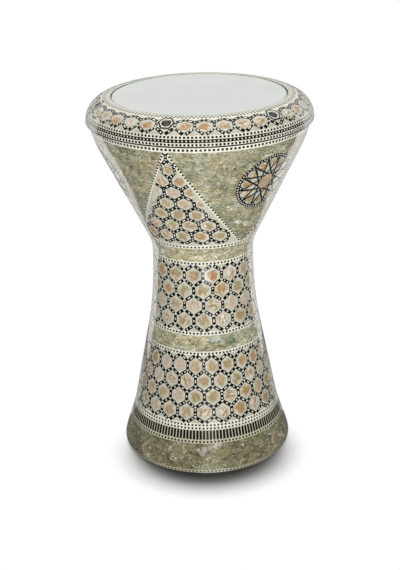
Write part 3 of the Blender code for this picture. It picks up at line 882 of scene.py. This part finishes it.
def panelSkin(name, azimuth, halfWidth, material, slot, replaced, depth, proud=0.0):
    # a grid bent onto the bowl between two borders, then given its thickness inwards
    low, high = bands["bowl_panels"]
    columns, rows = bowl["grid"]
    piece = addShape("grid", x_subdivisions=columns, y_subdivisions=rows, size=1)
    flat = np.array([corner.co[:] for corner in piece.data.vertices])
    height = low - bandGap / 2 + (flat[:, 1] + 0.5) * (high - low + bandGap)
    half = np.array([halfWidth(value) for value in height])
    across = -half + 2 * half * (flat[:, 0] + 0.5)
    points, _ = onOutline(body, azimuth)(np.column_stack([across, height, np.full(len(flat), proud)]))
    piece.data.vertices.foreach_set("co", (points * mm).ravel())
    wall = piece.modifiers.new("wall", "SOLIDIFY")
    wall.thickness = depth * mm
    wall.offset = -1
    applyModifier(piece, wall)
    bpy.ops.object.shade_smooth_by_angle(angle=smoothAngle)
    finishPiece(piece, name, material, "drum", slot, replaced)


def pulledInside(x, height, margin):
    # how far a point has to move sideways to stay clear of the triangle's border
    return max(0.0, abs(x) - max(0.0, triangleHalfWidth(height) - margin))


def topCellEdges():
    # the triangle's highest cell is squeezed between its borders, and hangs from one upright domino
    top = bowl["topCell"]
    half, low, high = top["half"], top["low"], top["high"]
    above, length = bowl["hanger"]
    return [(0.0, top["top"] + above, math.pi / 2, length)] + sidesOf(
        [(half, low), (half, high), (0.0, top["top"]), (-half, high), (-half, low), (0.0, top["bottom"])])


def triangleLattice(number, azimuth):
    low, high = bands["bowl_panels"]
    width, rowStep, rise = bowl["cellWidth"], bowl["rowStep"], bowl["cellRise"]
    side = rowStep - rise
    margin = bowl["borderStrip"]
    whole, trimmed, edges = [], [], []
    row = 0
    while bowl["topRow"] - rowStep * row > low + 4:
        y = bowl["topRow"] - rowStep * row
        shift = 0.0 if row % 2 == 0 else width / 2
        for index in range(-4, 5):
            x = shift + width * index
            room = triangleHalfWidth(y) - margin - abs(x)
            if room > width / 2 - 1.0:
                whole.append((x, y))
            elif room > 1.0 and row:
                trimmed.append((x, y, room))
            if room > -2.0 and row:
                edges += [edge for edge in hexagonEdges(x, y, width, side, rise)
                          if row > 1 or edge[1] < y + side / 2 + 1 or abs(edge[0]) > width / 2]
        row += 1
    inside = topCellEdges()
    for x, y, turn, length in uniqueEdges(edges):
        reach = min(domino["length"], length) / 2
        over = max(pulledInside(x + end * reach * math.cos(turn), y + end * reach * math.sin(turn),
                                margin + 1.6) for end in (-1, 1))
        top = y + reach * abs(math.sin(turn))
        bottom = y - reach * abs(math.sin(turn))
        if over < 3.4 and bottom > low + 0.8 and top < high - 0.5:
            inside.append((x - math.copysign(over, x) if over else x, y, turn, length))
    wrap = onOutline(body, azimuth)
    sawnCells(f"triangleCells_{number}", whole, width, side, rise, wrap)
    top = bowl["topCell"]
    places = [(0.0, (top["bottom"] + top["top"]) / 2, 0.0, top["half"] - 1.6,
               (top["top"] - top["bottom"]) / 2 - 3.4, chance.random())]
    for x, y, room in trimmed:
        wide = (room + width / 2 - domino["width"] / 2) / 2
        tall = min(side / 2 + rise - 2.6, wide * 1.15)
        shift = math.copysign(width / 2 - domino["width"] / 2 - wide, x) if x else 0.0
        places.append((x - shift, y, 0.0, wide, tall, chance.random()))
    layTiles(f"triangleTrimmedCells_{number}", cellTile(), places, wrap, pearlCell)
    layDominoes(f"triangleDominoes_{number}", inside, wrap)


def triangleBorder(number, azimuth):
    low, high = bands["bowl_panels"]
    spread = triangleHalfWidth(low) - triangleHalfWidth(high)
    count = round(math.hypot(high - low, spread) / bowl["borderPitch"])
    places = []
    for side in (-1, 1):
        for index in range(count):
            height = low + (high - low) * (index + 0.5) / count
            places.append((side * (triangleHalfWidth(height) - 1.0), height,
                           side * math.atan2(spread, high - low), 1.0, 1.0, 0.0))
    tile = plainTile(bowl["borderDot"], bowl["borderDot"])
    layTiles(f"triangleBorderDots_{number}", tile, places, onOutline(body, azimuth), blackResin)


def addTriangles():
    def outerHalf(height):
        return triangleHalfWidth(height) + bandGap / 2

    def innerHalf(height):
        return max(0.2, triangleHalfWidth(height) - bowl["borderStrip"])

    for number, azimuth in panelSpots():
        panelSkin(f"trianglePanel_{number}", azimuth, outerHalf, boneStrip, "pearl_honeycomb",
                  [f"triangle_panel_{number}"], bodyShape["skin"])
        panelSkin(f"triangleField_{number}", azimuth, innerHalf, fieldNacre, "pearl_honeycomb", [],
                  tileSetup["thickness"], 0.03)
        triangleLattice(number, azimuth)
        triangleBorder(number, azimuth)


def addBowlFields():
    def halfField(height):
        return math.pi / bowl["panels"] * radiusAt(body, height) - triangleHalfWidth(height) - bandGap / 2

    for number, azimuth in panelSpots(0.5):
        panelSkin(f"bowlMosaic_{number}", azimuth, halfField, bowlPearl, "pearl_mosaic",
                  [f"bowl_mosaic_{number}"], bodyShape["skin"])


# Rosette: a ring of beads round twelve petals, with two sets of black straps crossing between them

rosette = {
    "radius": 38.3,
    "drop": 48.1,
    "petals": 12,
    "petalMiddle": 26.6,
    # length, width and height above the bowl of each petal's black line, pale rim and stained core
    "line": (17.8, 14.0, 0.12),
    "rim": (15.2, 11.4, 0.16),
    "core": (11.8, 7.8, 0.21),
    "beadRing": 34.6,
    "beads": 60,
    "beadSize": 1.5,
    "strap": 2.1,
    "strapTurn": 45,
    "strapPieces": 7,
    "strapOverlap": 1.02,
    "hub": 10.4,
    "proud": {"panel": 0.05, "face": 0.09, "beads": 0.12, "hub": 0.2, "straps": 0.26},
}


def onRosette(azimuth):
    # lays a flat disc on the bowl along the line of sight square to its side
    centre = bands["bowl_panels"][1] - rosette["drop"]
    radius, _, out, up = (float(value[0]) for value in readOutline(body, [centre]))
    turn = math.radians(azimuth)
    side = np.array([math.cos(turn), math.sin(turn), 0.0])
    normal = np.array([out * math.sin(turn), -out * math.cos(turn), up])
    rise = np.cross(normal, side)
    middle = np.array([radius * math.sin(turn), -radius * math.cos(turn), centre])

    def readAt(points):
        away = np.hypot(points[:, 0], points[:, 1])
        surface, _, outs, ups = readOutline(body, points[:, 2])
        outward = np.column_stack([outs * points[:, 0] / away, outs * points[:, 1] / away, ups])
        return (away - surface) * outs, outward

    def wrap(flat):
        points = middle + flat[:, :1] * side + flat[:, 1:2] * rise
        for _ in range(8):
            error, outward = readAt(points)
            points = points - normal * (error / (outward @ normal))[:, None]
        outward = readAt(points)[1]
        return points + outward * flat[:, 2:], outward
    return wrap


def discTile(radius, proud):
    piece = addShape("circle", vertices=72, radius=radius, fill_type="NGON")
    startEdit(piece)
    for _ in range(8):
        bpy.ops.mesh.inset(thickness=radius / 9.5, depth=0)
    thicken(piece)
    return readTile(piece, proud)


def petalTile(length, width, proud):
    # a rounded kite: pointed at the bottom, full at the top
    piece = addShape("circle", vertices=16, radius=1, fill_type="TRIFAN")
    for corner in piece.data.vertices:
        x, y = corner.co.x, corner.co.y
        narrow = 1.0 if y > 0 else (1 + y) ** 0.6
        corner.co = (x * width / 2 * narrow, y * length / 2, 0)
    thicken(piece)
    return readTile(piece, proud)


def strapPlaces():
    # straight straps: each leaves the bead ring between two petals and ends at the hub, further round
    places = []
    outer, hub, pieces = rosette["beadRing"], rosette["hub"], rosette["strapPieces"]
    for index in range(rosette["petals"]):
        start = 2 * math.pi * (index + 0.5) / rosette["petals"]
        for way in (-1, 1):
            end = start + way * math.radians(rosette["strapTurn"])
            ax, ay = outer * math.cos(start), outer * math.sin(start)
            bx, by = hub * math.cos(end), hub * math.sin(end)
            length = math.hypot(bx - ax, by - ay) / pieces * rosette["strapOverlap"]
            for step in range(pieces):
                t = (step + 0.5) / pieces
                places.append((ax + (bx - ax) * t, ay + (by - ay) * t, math.atan2(by - ay, bx - ax), length,
                               1.0, 0.0))
    return places


def addRosettes():
    proud = rosette["proud"]
    base = discTile(rosette["radius"], proud["panel"])
    face = discTile(rosette["beadRing"] - 0.6, proud["face"])
    hub = discTile(rosette["hub"] - 0.4, proud["hub"])
    bead = plainTile(1.0, 1.0, 0, proud["beads"])
    strap = plainTile(1.0, rosette["strap"], 0, proud["straps"])
    rim, core, line = (petalTile(*rosette[part]) for part in ("rim", "core", "line"))
    for number, azimuth in panelSpots(0.5):
        wrap = onRosette(azimuth)
        whole = [(0.0, 0.0, 0.0, 1.0, 1.0, 0.5)]
        beads, petals = [], []
        middle, size = (rosette["beadRing"] + rosette["radius"]) / 2, rosette["beadSize"]
        for spot in range(rosette["beads"]):
            angle = 2 * math.pi * spot / rosette["beads"]
            beads.append((middle * math.cos(angle), middle * math.sin(angle), angle, size, size, 0.0))
        reach = rosette["petalMiddle"]
        for spot in range(rosette["petals"]):
            angle = 2 * math.pi * spot / rosette["petals"]
            petals.append((reach * math.cos(angle), reach * math.sin(angle), angle - math.pi / 2, 1.0, 1.0,
                           0.15 + 0.5 * chance.random()))
        ground = layTiles(f"rosettePanel_{number}", base, whole, wrap, blackResin)
        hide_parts(f"rosette_panel_{number}")
        for name, tile, places, material, heartScale in (
            ("rosetteFace", face, whole, fieldNacre, 1.0),
            ("rosetteBeads", bead, beads, boneStrip, 1.0),
            ("rosettePetalLines", line, petals, blackResin, 1.0),
            ("rosettePetalRims", rim, petals, fieldNacre, 1.0),
            ("rosettePetals", core, petals, pearlCell, 0.6),
            ("rosetteStraps", strap, strapPlaces(), blackResin, 1.0),
            ("rosetteHub", hub, whole, pearlCell, 0.35),
        ):
            layTiles(f"{name}_{number}", tile, places, wrap, material, heartScale=heartScale)


# Casting and head

casting = {
    "rimInner": 87.0,
    "beadTop": 6.45,
    "bearing": 100.4,
    "bearingInner": 96.0,
    "bearingTop": 447.05,
    "bearingRound": 2.5,
    "bed": 1.8,
    "wall": 5.0,
    "ledge": 412.0,
    "haunch": 398.0,
    "tapped": 3.1,
    "tappedSpan": (405, 430),
}


def addCasting():
    shoulder = bodyShape["shoulder"][1]
    bed, wall = casting["bed"], casting["bed"] + casting["wall"]
    section = [(casting["rimInner"], 0.0), (bodyShape["rim"][0], 0.0)]
    for height in (0.4, 1.0, 1.7):
        section.append((radiusAt(body, height) - 0.15, height))
    radius, height, out, up = readOutline(body, np.concatenate([[2.0], np.arange(8, 418, 6.0), [417.5]]))
    section += list(zip(radius - bed * out, height - bed * up))
    section += [(float(radius[-1] - bed), shoulder), (casting["bearing"], shoulder)]
    curve, top = casting["bearingRound"], casting["bearingTop"]
    section += quarterTurn((casting["bearing"] - curve, top - curve), curve, 6)
    section += [(casting["bearingInner"], top - 0.3), (casting["bearingInner"], casting["ledge"])]
    radius, height, out, up = readOutline(body, np.arange(casting["haunch"], 16, -6.0))
    section += list(zip(radius - wall * out, height - wall * up))
    section += [(casting["rimInner"], casting["beadTop"])]
    piece = turnedPiece(section)
    cutAway(piece, boreCutter(casting["tapped"], *casting["tappedSpan"]))
    finishPiece(piece, "bodyCasting", aluminium, "drum", "cast_aluminium", ["body_casting"])


film = {"radius": 102.2, "top": 447.6, "thickness": 0.25, "collar": 11.4, "corner": 2.4}


def addHead():
    corner, thickness, top = film["corner"], film["thickness"], film["top"]
    centre = (film["radius"] - corner, top - corner)
    floor = top - film["collar"]
    section = [(radius, top) for radius in (0.0, 20.0, 40.0, 60.0, 80.0)]
    section += quarterTurn(centre, corner, 8)[::-1]
    section += [(film["radius"], floor), (film["radius"] - thickness, floor)]
    section += quarterTurn(centre, corner - thickness, 8)
    section += [(radius, top - thickness) for radius in (80.0, 60.0, 40.0, 20.0, 0.0)]
    finishPiece(turnedPiece(section), "drumheadFilm", headFilm, "drum", "pet_film", ["drumhead_film"])


hoop = {"inner": 100.9, "outer": 105.4, "floor": 431.0, "top": 437.5, "grooveInner": 101.65,
        "grooveOuter": 102.5, "grooveFloor": 432.5}


def addHoop():
    section = [(hoop["inner"], hoop["floor"]), (hoop["outer"], hoop["floor"]), (hoop["outer"], hoop["top"]),
               (hoop["grooveOuter"], hoop["top"]), (hoop["grooveOuter"], hoop["grooveFloor"]),
               (hoop["grooveInner"], hoop["grooveFloor"]), (hoop["grooveInner"], hoop["top"]),
               (hoop["inner"], hoop["top"])]
    finishPiece(turnedPiece(section), "headHoop", aluminium, "tension_ring", "cast_aluminium", ["head_hoop"])


# Tension ring: rounded core, its inlay, and the six recessed bolts

bolt = {
    "count": 6,
    "firstAzimuth": -17.7,
    "circle": 120.0,
    "seat": 432.97,
    "counterbore": 6.5,
    "hole": 3.3,
    "headRadius": 5.0,
    "headHeight": 6.0,
    "edge": 1.1,
    "socket": 2.5,
    "socketDepth": 3.0,
    "dishDepth": 0.35,
    "shank": 3.0,
    "length": 25.0,
    "thread": 1.0,
    "threaded": 18,
    "washer": 6.0,
    "washerThickness": 1.2,
    "washerEdge": 0.2,
    "rest": 0.3,
}


def boltSpots():
    for index in range(bolt["count"]):
        angle = math.radians(bolt["firstAzimuth"] + 360 / bolt["count"] * index)
        yield index + 1, bolt["circle"] * math.sin(angle), -bolt["circle"] * math.cos(angle), angle


def boreCutter(radius, low, high):
    # one cylinder at each bolt, joined, to cut the holes with
    made = [addShape("cylinder", vertices=48, radius=radius * mm, depth=(high - low) * mm,
                     location=(x * mm, y * mm, (low + high) / 2 * mm)) for _, x, y, _ in boltSpots()]
    for cylinder in made:
        cylinder.select_set(True)
    bpy.ops.object.join()
    bpy.ops.object.transform_apply(location=True, rotation=True, scale=True)
    return bpy.context.object


def cutAway(piece, cutter):
    slicer = piece.modifiers.new("bore", "BOOLEAN")
    slicer.operation = "DIFFERENCE"
    slicer.object = cutter
    slicer.solver = "EXACT"
    applyModifier(piece, slicer)
    bpy.data.objects.remove(cutter)
    bpy.ops.object.shade_smooth_by_angle(angle=smoothAngle)


def addRing():
    lipFloor = ringShape["turn"] + ringShape["rise"] - ringShape["lipDepth"]
    recess = hoop["outer"] + 0.5
    radius, height, out, up = readOutline(ring, np.linspace(0, ringLength, 24))
    core, lip = ringShape["core"], ringShape["lip"]
    section = [(recess, ringShape["floor"]), (float(radius[0]) - core, ringShape["floor"])]
    section += list(zip(radius[1:-1] - core * out[1:-1], height[1:-1] - core * up[1:-1]))
    section += [(lip, float(height[-1]) - core), (lip, lipFloor), (recess, lipFloor)]
    piece = turnedPiece(section)
    cutters = boreCutter(bolt["counterbore"], bolt["seat"], 460), boreCutter(bolt["hole"], 400, 440)
    for cutter in cutters:
        cutAway(piece, cutter)
    finishPiece(piece, "tensionRing", aluminium, "tension_ring", "cast_aluminium", ["tension_ring"])


def addRingInlay():
    looks = {"ring_black_band": (blackResin, "black_inlay"),
             "ring_honeycomb": (fieldNacre, "pearl_honeycomb")}
    for node, (start, end) in ringSpans.items():
        material, slot = looks.get(node, (boneStrip, "dotted_strip"))
        low = start if node == "ring_lower_strip" else start - bandGap / 2
        high = end if node == "ring_inner_strip" else end + bandGap / 2
        count = max(3, round((high - low) / turning["ringStep"]))
        piece = turnedPiece(skinSection(ring, low, high, count, ringShape["skin"]))
        if node == "ring_honeycomb":
            cutAway(piece, boreCutter(bolt["counterbore"], bolt["seat"], 460))
        finishPiece(piece, pieceName(node), material, "tension_ring", slot, [node])


# name, place, size, pitch, shift along the row in pitches, and whether the dots are pale on black
ringDots = [
    ("ringLowerDots", 3.3, 2.5, 4.33, 0.0, False, None),
    ("ringBlackBandDots", 7.35, 1.5, 4.38, 0.5, True, None),
    ("ringOuterDots", 11.45, 2.5, 4.4, 0.0, False, None),
    ("ringInnerSquares1", 38.6, 2.5, 4.4, 0.0, True, 0.12),
    ("ringInnerSquares2", 41.1, 2.5, 4.4, 0.5, True, 0.12),
]
# name, place and width of the black lines that run right round; the first, along the ring's lower edge, is
# painted shade where the ring overhangs the body
ringLines = [("ringEdgePaintedShade", 0.8, 1.5), ("ringChequerBed", 39.85, 5.0), ("ringInnerLine", 44.9, 0.45)]


def addRingDots():
    for name, place, size, pitch, shift, pale, proud in ringDots:
        layRow(name, ring, place * stretchedBy, pitch, plainTile(size, size, 0, proud),
               boneStrip if pale else blackResin, "tension_ring", "dotted_strip", shift)


def addRingLines():
    for name, place, width in ringLines:
        middle = place * stretchedBy
        section = skinSection(ring, middle - width / 2, middle + width / 2, 3, tileSetup["thickness"],
                              tileSetup["proud"])
        finishPiece(turnedPiece(section), name, blackResin, "tension_ring", "dotted_strip")


ringCells = {"count": 36, "azimuth": -17.7, "place": 26.1, "side": 7.4, "rise": 4.4, "drop": 8.6}


def addRingHoneycomb():
    place = ringCells["place"] * stretchedBy
    reference = radiusAt(ring, place)
    width = 2 * math.pi * reference / ringCells["count"]
    side, rise, drop = ringCells["side"], ringCells["rise"], ringCells["drop"]
    spots, edges = [], []
    everyBolt = ringCells["count"] // bolt["count"]
    for index in range(ringCells["count"]):
        sides = hexagonEdges(width * index, place, width, side, rise, drop)
        if index % everyBolt:
            spots.append((width * index, place + (rise - drop) / 2))
            edges += sides
        else:
            edges += [line for line in sides if line[1] < place + 1]
    wrap = onOutline(ring, ringCells["azimuth"], reference)
    sawnCells("ringCells", spots, width, side, (rise + drop) / 2, wrap, "tension_ring")
    layDominoes("ringDominoes", uniqueEdges(edges, 2 * math.pi * reference), wrap, "tension_ring")


surround = {"outer": 8.4, "collar": 6.5, "hole": 5.75, "corners": 48, "proud": 0.12, "collarProud": 0.16}


def hexagonRing(outerApothem, innerApothem, innerRound=False):
    # a flat six-sided frame with flats up and down, cut finely enough to bend over the ring
    count = surround["corners"]
    piece = addShape("circle", vertices=count, radius=1)
    startEdit(piece)
    bpy.ops.mesh.extrude_region_move()
    bpy.ops.object.mode_set(mode="OBJECT")
    for index, corner in enumerate(piece.data.vertices):
        angle = 2 * math.pi * (index % count) / count
        reach = outerApothem if index < count else innerApothem
        if index < count or not innerRound:
            off = (angle + math.pi / 6) % (math.pi / 3) - math.pi / 6
            reach /= math.cos(math.pi / 6 - abs(off))
        corner.co = (reach * math.cos(angle), reach * math.sin(angle), 0)
    thicken(piece, ringShape["skin"])
    return piece


def addSurrounds():
    place = float(np.interp(-bolt["circle"], -ring["radius"], ring["place"]))
    layers = (
        ("boltSurround", surround["outer"], surround["collar"] - 0.1, False, surround["proud"], blackResin),
        ("boltCollar", surround["collar"], surround["hole"], True, surround["collarProud"], boneStrip),
    )
    for number, _, _, angle in boltSpots():
        wrap = onOutline(ring, math.degrees(angle), bolt["circle"])
        for name, outer, inner, innerRound, proud, material in layers:
            tile = readTile(hexagonRing(outer, inner, innerRound), proud)
            piece = layTiles(f"{name}_{number}", tile, [(0.0, place, 0.0, 1.0, 1.0, 0.0)], wrap, material,
                             "tension_ring", "black_inlay")
            if name == "boltSurround":
                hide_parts(f"bolt_surround_{number}")


def boltBody():
    # turned blank with rolled thread ridges, then a six-sided socket cut into the head
    tip, shank, thread = -bolt["length"], bolt["shank"], bolt["thread"]
    head, edge, top = bolt["headRadius"], bolt["edge"], bolt["headHeight"]
    section = [(0.0, tip), (shank - 0.7, tip)]
    for index in range(int(bolt["threaded"] / thread)):
        low = tip + 0.7 + index * thread
        section += [(shank - 0.45, low), (shank, low + thread / 2)]
    section += [(shank - 0.2, tip + bolt["threaded"] + 1.5), (shank - 0.2, 0.0), (head, 0.0)]
    section += quarterTurn((head - edge, top - edge), edge, 4)
    socket = bolt["socket"] / math.cos(math.pi / 6)
    dishFloor = top - bolt["dishDepth"]
    section += [(socket + 0.35, top), (socket - 0.1, dishFloor), (0.0, dishFloor)]
    blank = turnedPiece(section, turning["boltSegments"])
    cutAway(blank, addShape("cylinder", vertices=6, radius=socket * mm, depth=2 * bolt["socketDepth"] * mm,
                            location=(0, 0, top * mm)))
    return blank


def addBolts():
    blank = boltBody()
    low = bolt["seat"] + bolt["rest"]
    high = low + bolt["washerThickness"]
    outer, edge = bolt["washer"], bolt["washerEdge"]
    for corner in blank.data.vertices:
        corner.co.z += (high + bolt["rest"]) * mm
    plate = turnedPiece([(bolt["hole"], low), (outer - edge, low), (outer, low + edge), (outer, high - edge),
                         (outer - edge, high), (bolt["hole"], high)], turning["boltSegments"])
    for number, x, y, angle in boltSpots():
        for source, name, node, rides in (
            (blank, f"tensionBolt_{number}", f"tension_bolt_{number}", f"tension_bolt_{number}"),
            (plate, f"boltWasher_{number}", f"bolt_washer_{number}", "tension_ring"),
        ):
            piece = source.copy()
            piece.data = source.data.copy()
            bpy.context.collection.objects.link(piece)
            turn = Quaternion((0, 0, 1), angle)
            for corner in piece.data.vertices:
                corner.co = turn @ corner.co + Vector((x * mm, y * mm, 0))
            finishPiece(piece, name, darkChrome, rides, "dark_chrome", [node])
    bpy.data.objects.remove(blank)
    bpy.data.objects.remove(plate)


# Studio: pale floor, white backdrop behind, a dimmer room in front, and soft lamps. Lengths are in metres.

studio = {
    "floorSize": 3.0,
    "floorColour": "#F4F4F3",
    "shadowColour": "#3C3C3E",
    "shadowShift": (0, 0.035, 0),  # brings the middle of the shadow forward
    "shadow": (0.106, 0.066, 0.95),  # where it starts, where it is full, and how dark it is there
    "plainWhite": (0.08, 0.13),  # where the floor starts to go over to plain white, and where it is there
    "ambient": 0.17,
    "room": 0.16,  # how bright the dim side of the room is in reflections
    "boxEdge": (120, 125),  # the near edge of the softboxes behind, in degrees from straight ahead
    "boxLevel": (2.0, 0.45),  # their brightness at that edge and straight behind
    "frontBox": (4, 6, 15, 1.0),  # direction, half widths and brightness of the soft strip in front
    # in reflections the floor shows the softboxes fully beyond the first distances, and within the second
    # only at the strength that follows them
    "floorGlow": (0.43, 0.49),
    "footGlow": (0.38, 0.33, 0.32),
    "patch": {"shift": (-0.018, 0.77, 0), "scale": (0.25, 1, 1), "edge": (0.045, 0.02), "level": 7.0},
    "overhead": {"steep": (0.75, 0.95), "side": (0.4, 0.25), "ahead": 0.44, "edge": (0.05, 0.02),
                 "level": 6.0},
    "lampAim": (0, 0, 0.22),
    "lamps": [
        {"name": "overheadSoftbox", "place": (-0.2, 0.6, 3.4), "size": (1.2, 1.0), "power": 75.0},
        {"name": "frontSoftbox", "place": (0.3, -2.5, 0.75), "size": (1.1, 1.1), "power": 41.0},
        {"name": "backFill", "place": (0.0, 3.0, 1.2), "size": (1.4, 1.4), "power": 24.0},
    ],
}


def rayKinds(add):
    # one where the camera or a see-through ray looks, and one where a reflection looks
    path = add("LightPath").outputs
    return maths(add, "MAXIMUM", path["Is Camera Ray"], path["Is Transmission Ray"]), path["Is Glossy Ray"]


def roomLight(add, direction, start=None):
    # what a reflection meets in each direction round the drum: two softboxes behind it, left and right, whose
    # sharp near edges show as pale bands down its sides, a soft strip straight ahead, and a dim room between
    axes = add("SeparateXYZ", direction).outputs
    turn = maths(add, "ARCTAN2", axes["X"], maths(add, "MULTIPLY", axes["Y"], -1.0))
    wide = maths(add, "ABSOLUTE", turn)
    near, far = (math.radians(value) for value in studio["boxEdge"])
    atEdge, behind = studio["boxLevel"]
    back = maths(add, "POWER", add("MapRange", wide, math.pi, near), 2.0)
    box = smooth(add, wide, near, far)
    if start is not None:
        box = maths(add, "MULTIPLY", box, start)
    level = choose(add, box, studio["room"], choose(add, back, behind, atEdge))
    middle, core, reach, strength = studio["frontBox"]
    off = maths(add, "ABSOLUTE", maths(add, "SUBTRACT", turn, math.radians(middle)))
    front = smooth(add, off, math.radians(reach), math.radians(core), strength)
    return maths(add, "MAXIMUM", level, front)


def addFloor():
    floor = addShape("circle", vertices=96, radius=studio["floorSize"], fill_type="NGON")
    floor.name = "studioFloor"
    material, add, shader = startMaterial("matt white floor", Roughness=0.9, Specular_IOR_Level=0.1)
    seen, glossy = rayKinds(add)
    place = objectPlace(add)
    # the real shadow close round the foot is kept and deepened by a painted shadow in the floor's colour,
    # seen by the camera only, and the floor goes over to plain white beyond it
    reach = vectors(add, "LENGTH", add("Mapping", place, Location=studio["shadowShift"]))
    dark = maths(add, "MULTIPLY", smooth(add, reach, *studio["shadow"]), seen)
    fillInputs(shader, Base_Color=mixed(add, dark, studio["floorColour"], studio["shadowColour"]))
    shown = choose(add, seen, glossy, smooth(add, reach, *studio["plainWhite"]))
    # a narrow bright strip in front that glints in the hollow of the waist
    patch = studio["patch"]
    strip = vectors(add, "LENGTH", add("Mapping", place, Location=patch["shift"], Scale=patch["scale"]))
    strip = smooth(add, strip, *patch["edge"], patch["level"])
    plainReach = vectors(add, "LENGTH", place)
    outside = maths(add, "MAXIMUM", smooth(add, plainReach, *studio["floorGlow"]),
                    smooth(add, plainReach, *studio["footGlow"]))
    level = maths(add, "MAXIMUM", roomLight(add, place, outside), strip)
    white = add("Emission", Strength=choose(add, glossy, 1.0, level))
    fillInputs(shader.id_data.nodes["Material Output"], Surface=add("MixShader", shown, shader, white))
    floor.data.materials.append(material)


def addWorld():
    world = bpy.data.worlds.new("studio surroundings")
    bpy.context.scene.world = world
    world.use_nodes = True
    world.node_tree.nodes.clear()
    add = nodeAdder(world.node_tree)
    seen, glossy = rayKinds(add)
    direction = add("TexCoord").outputs["Generated"]
    axes = add("SeparateXYZ", direction).outputs
    lamp = studio["overhead"]
    steep = smooth(add, axes["Z"], *lamp["steep"])
    level = choose(add, steep, roomLight(add, direction), 1.0)
    # a narrow lamp high up in front, which draws the thin bright line along the ring
    side = maths(add, "ABSOLUTE", axes["X"])
    depth = maths(add, "ABSOLUTE", maths(add, "ADD", axes["Y"], lamp["ahead"]))
    line = maths(add, "MULTIPLY", smooth(add, side, *lamp["side"]),
                 smooth(add, depth, *lamp["edge"], lamp["level"]))
    level = maths(add, "MAXIMUM", level, maths(add, "MULTIPLY", line, steep))
    strength = choose(add, seen, choose(add, glossy, studio["ambient"], level), 1.0)
    add("OutputWorld", Surface=add("Background", Strength=strength, Color=(1, 1, 1, 1)))


def addLamps():
    for lamp in studio["lamps"]:
        deselectAll()
        bpy.ops.object.light_add(type="AREA", location=lamp["place"])
        light = bpy.context.object
        light.name = lamp["name"]
        light.data.shape = "RECTANGLE"
        light.data.size, light.data.size_y = lamp["size"]
        light.data.energy = lamp["power"]
        away = Vector(studio["lampAim"]) - light.location
        light.rotation_euler = away.to_track_quat("-Z", "Y").to_euler()
        light.visible_camera = False
        light.visible_glossy = False


bpy.context.scene.view_settings.view_transform = "Standard"
print("camera and studio")
addCamera(cameraSetup)
addFloor()
addWorld()
addLamps()
print("casting, head and ring")
addCasting()
addHead()
addHoop()
addRing()
addBolts()
print("body bands")
addBodyStrips()
addMosaics()
addKeyBand()
for combName, combSetup in honeycombs.items():
    addHoneycomb(combName, combSetup)
print("bowl panels")
addTriangles()
addBowlFields()
addRosettes()
print("ring inlay")
addRingInlay()
addRingDots()
addRingHoneycomb()
addSurrounds()
addRingLines()
deselectAll()
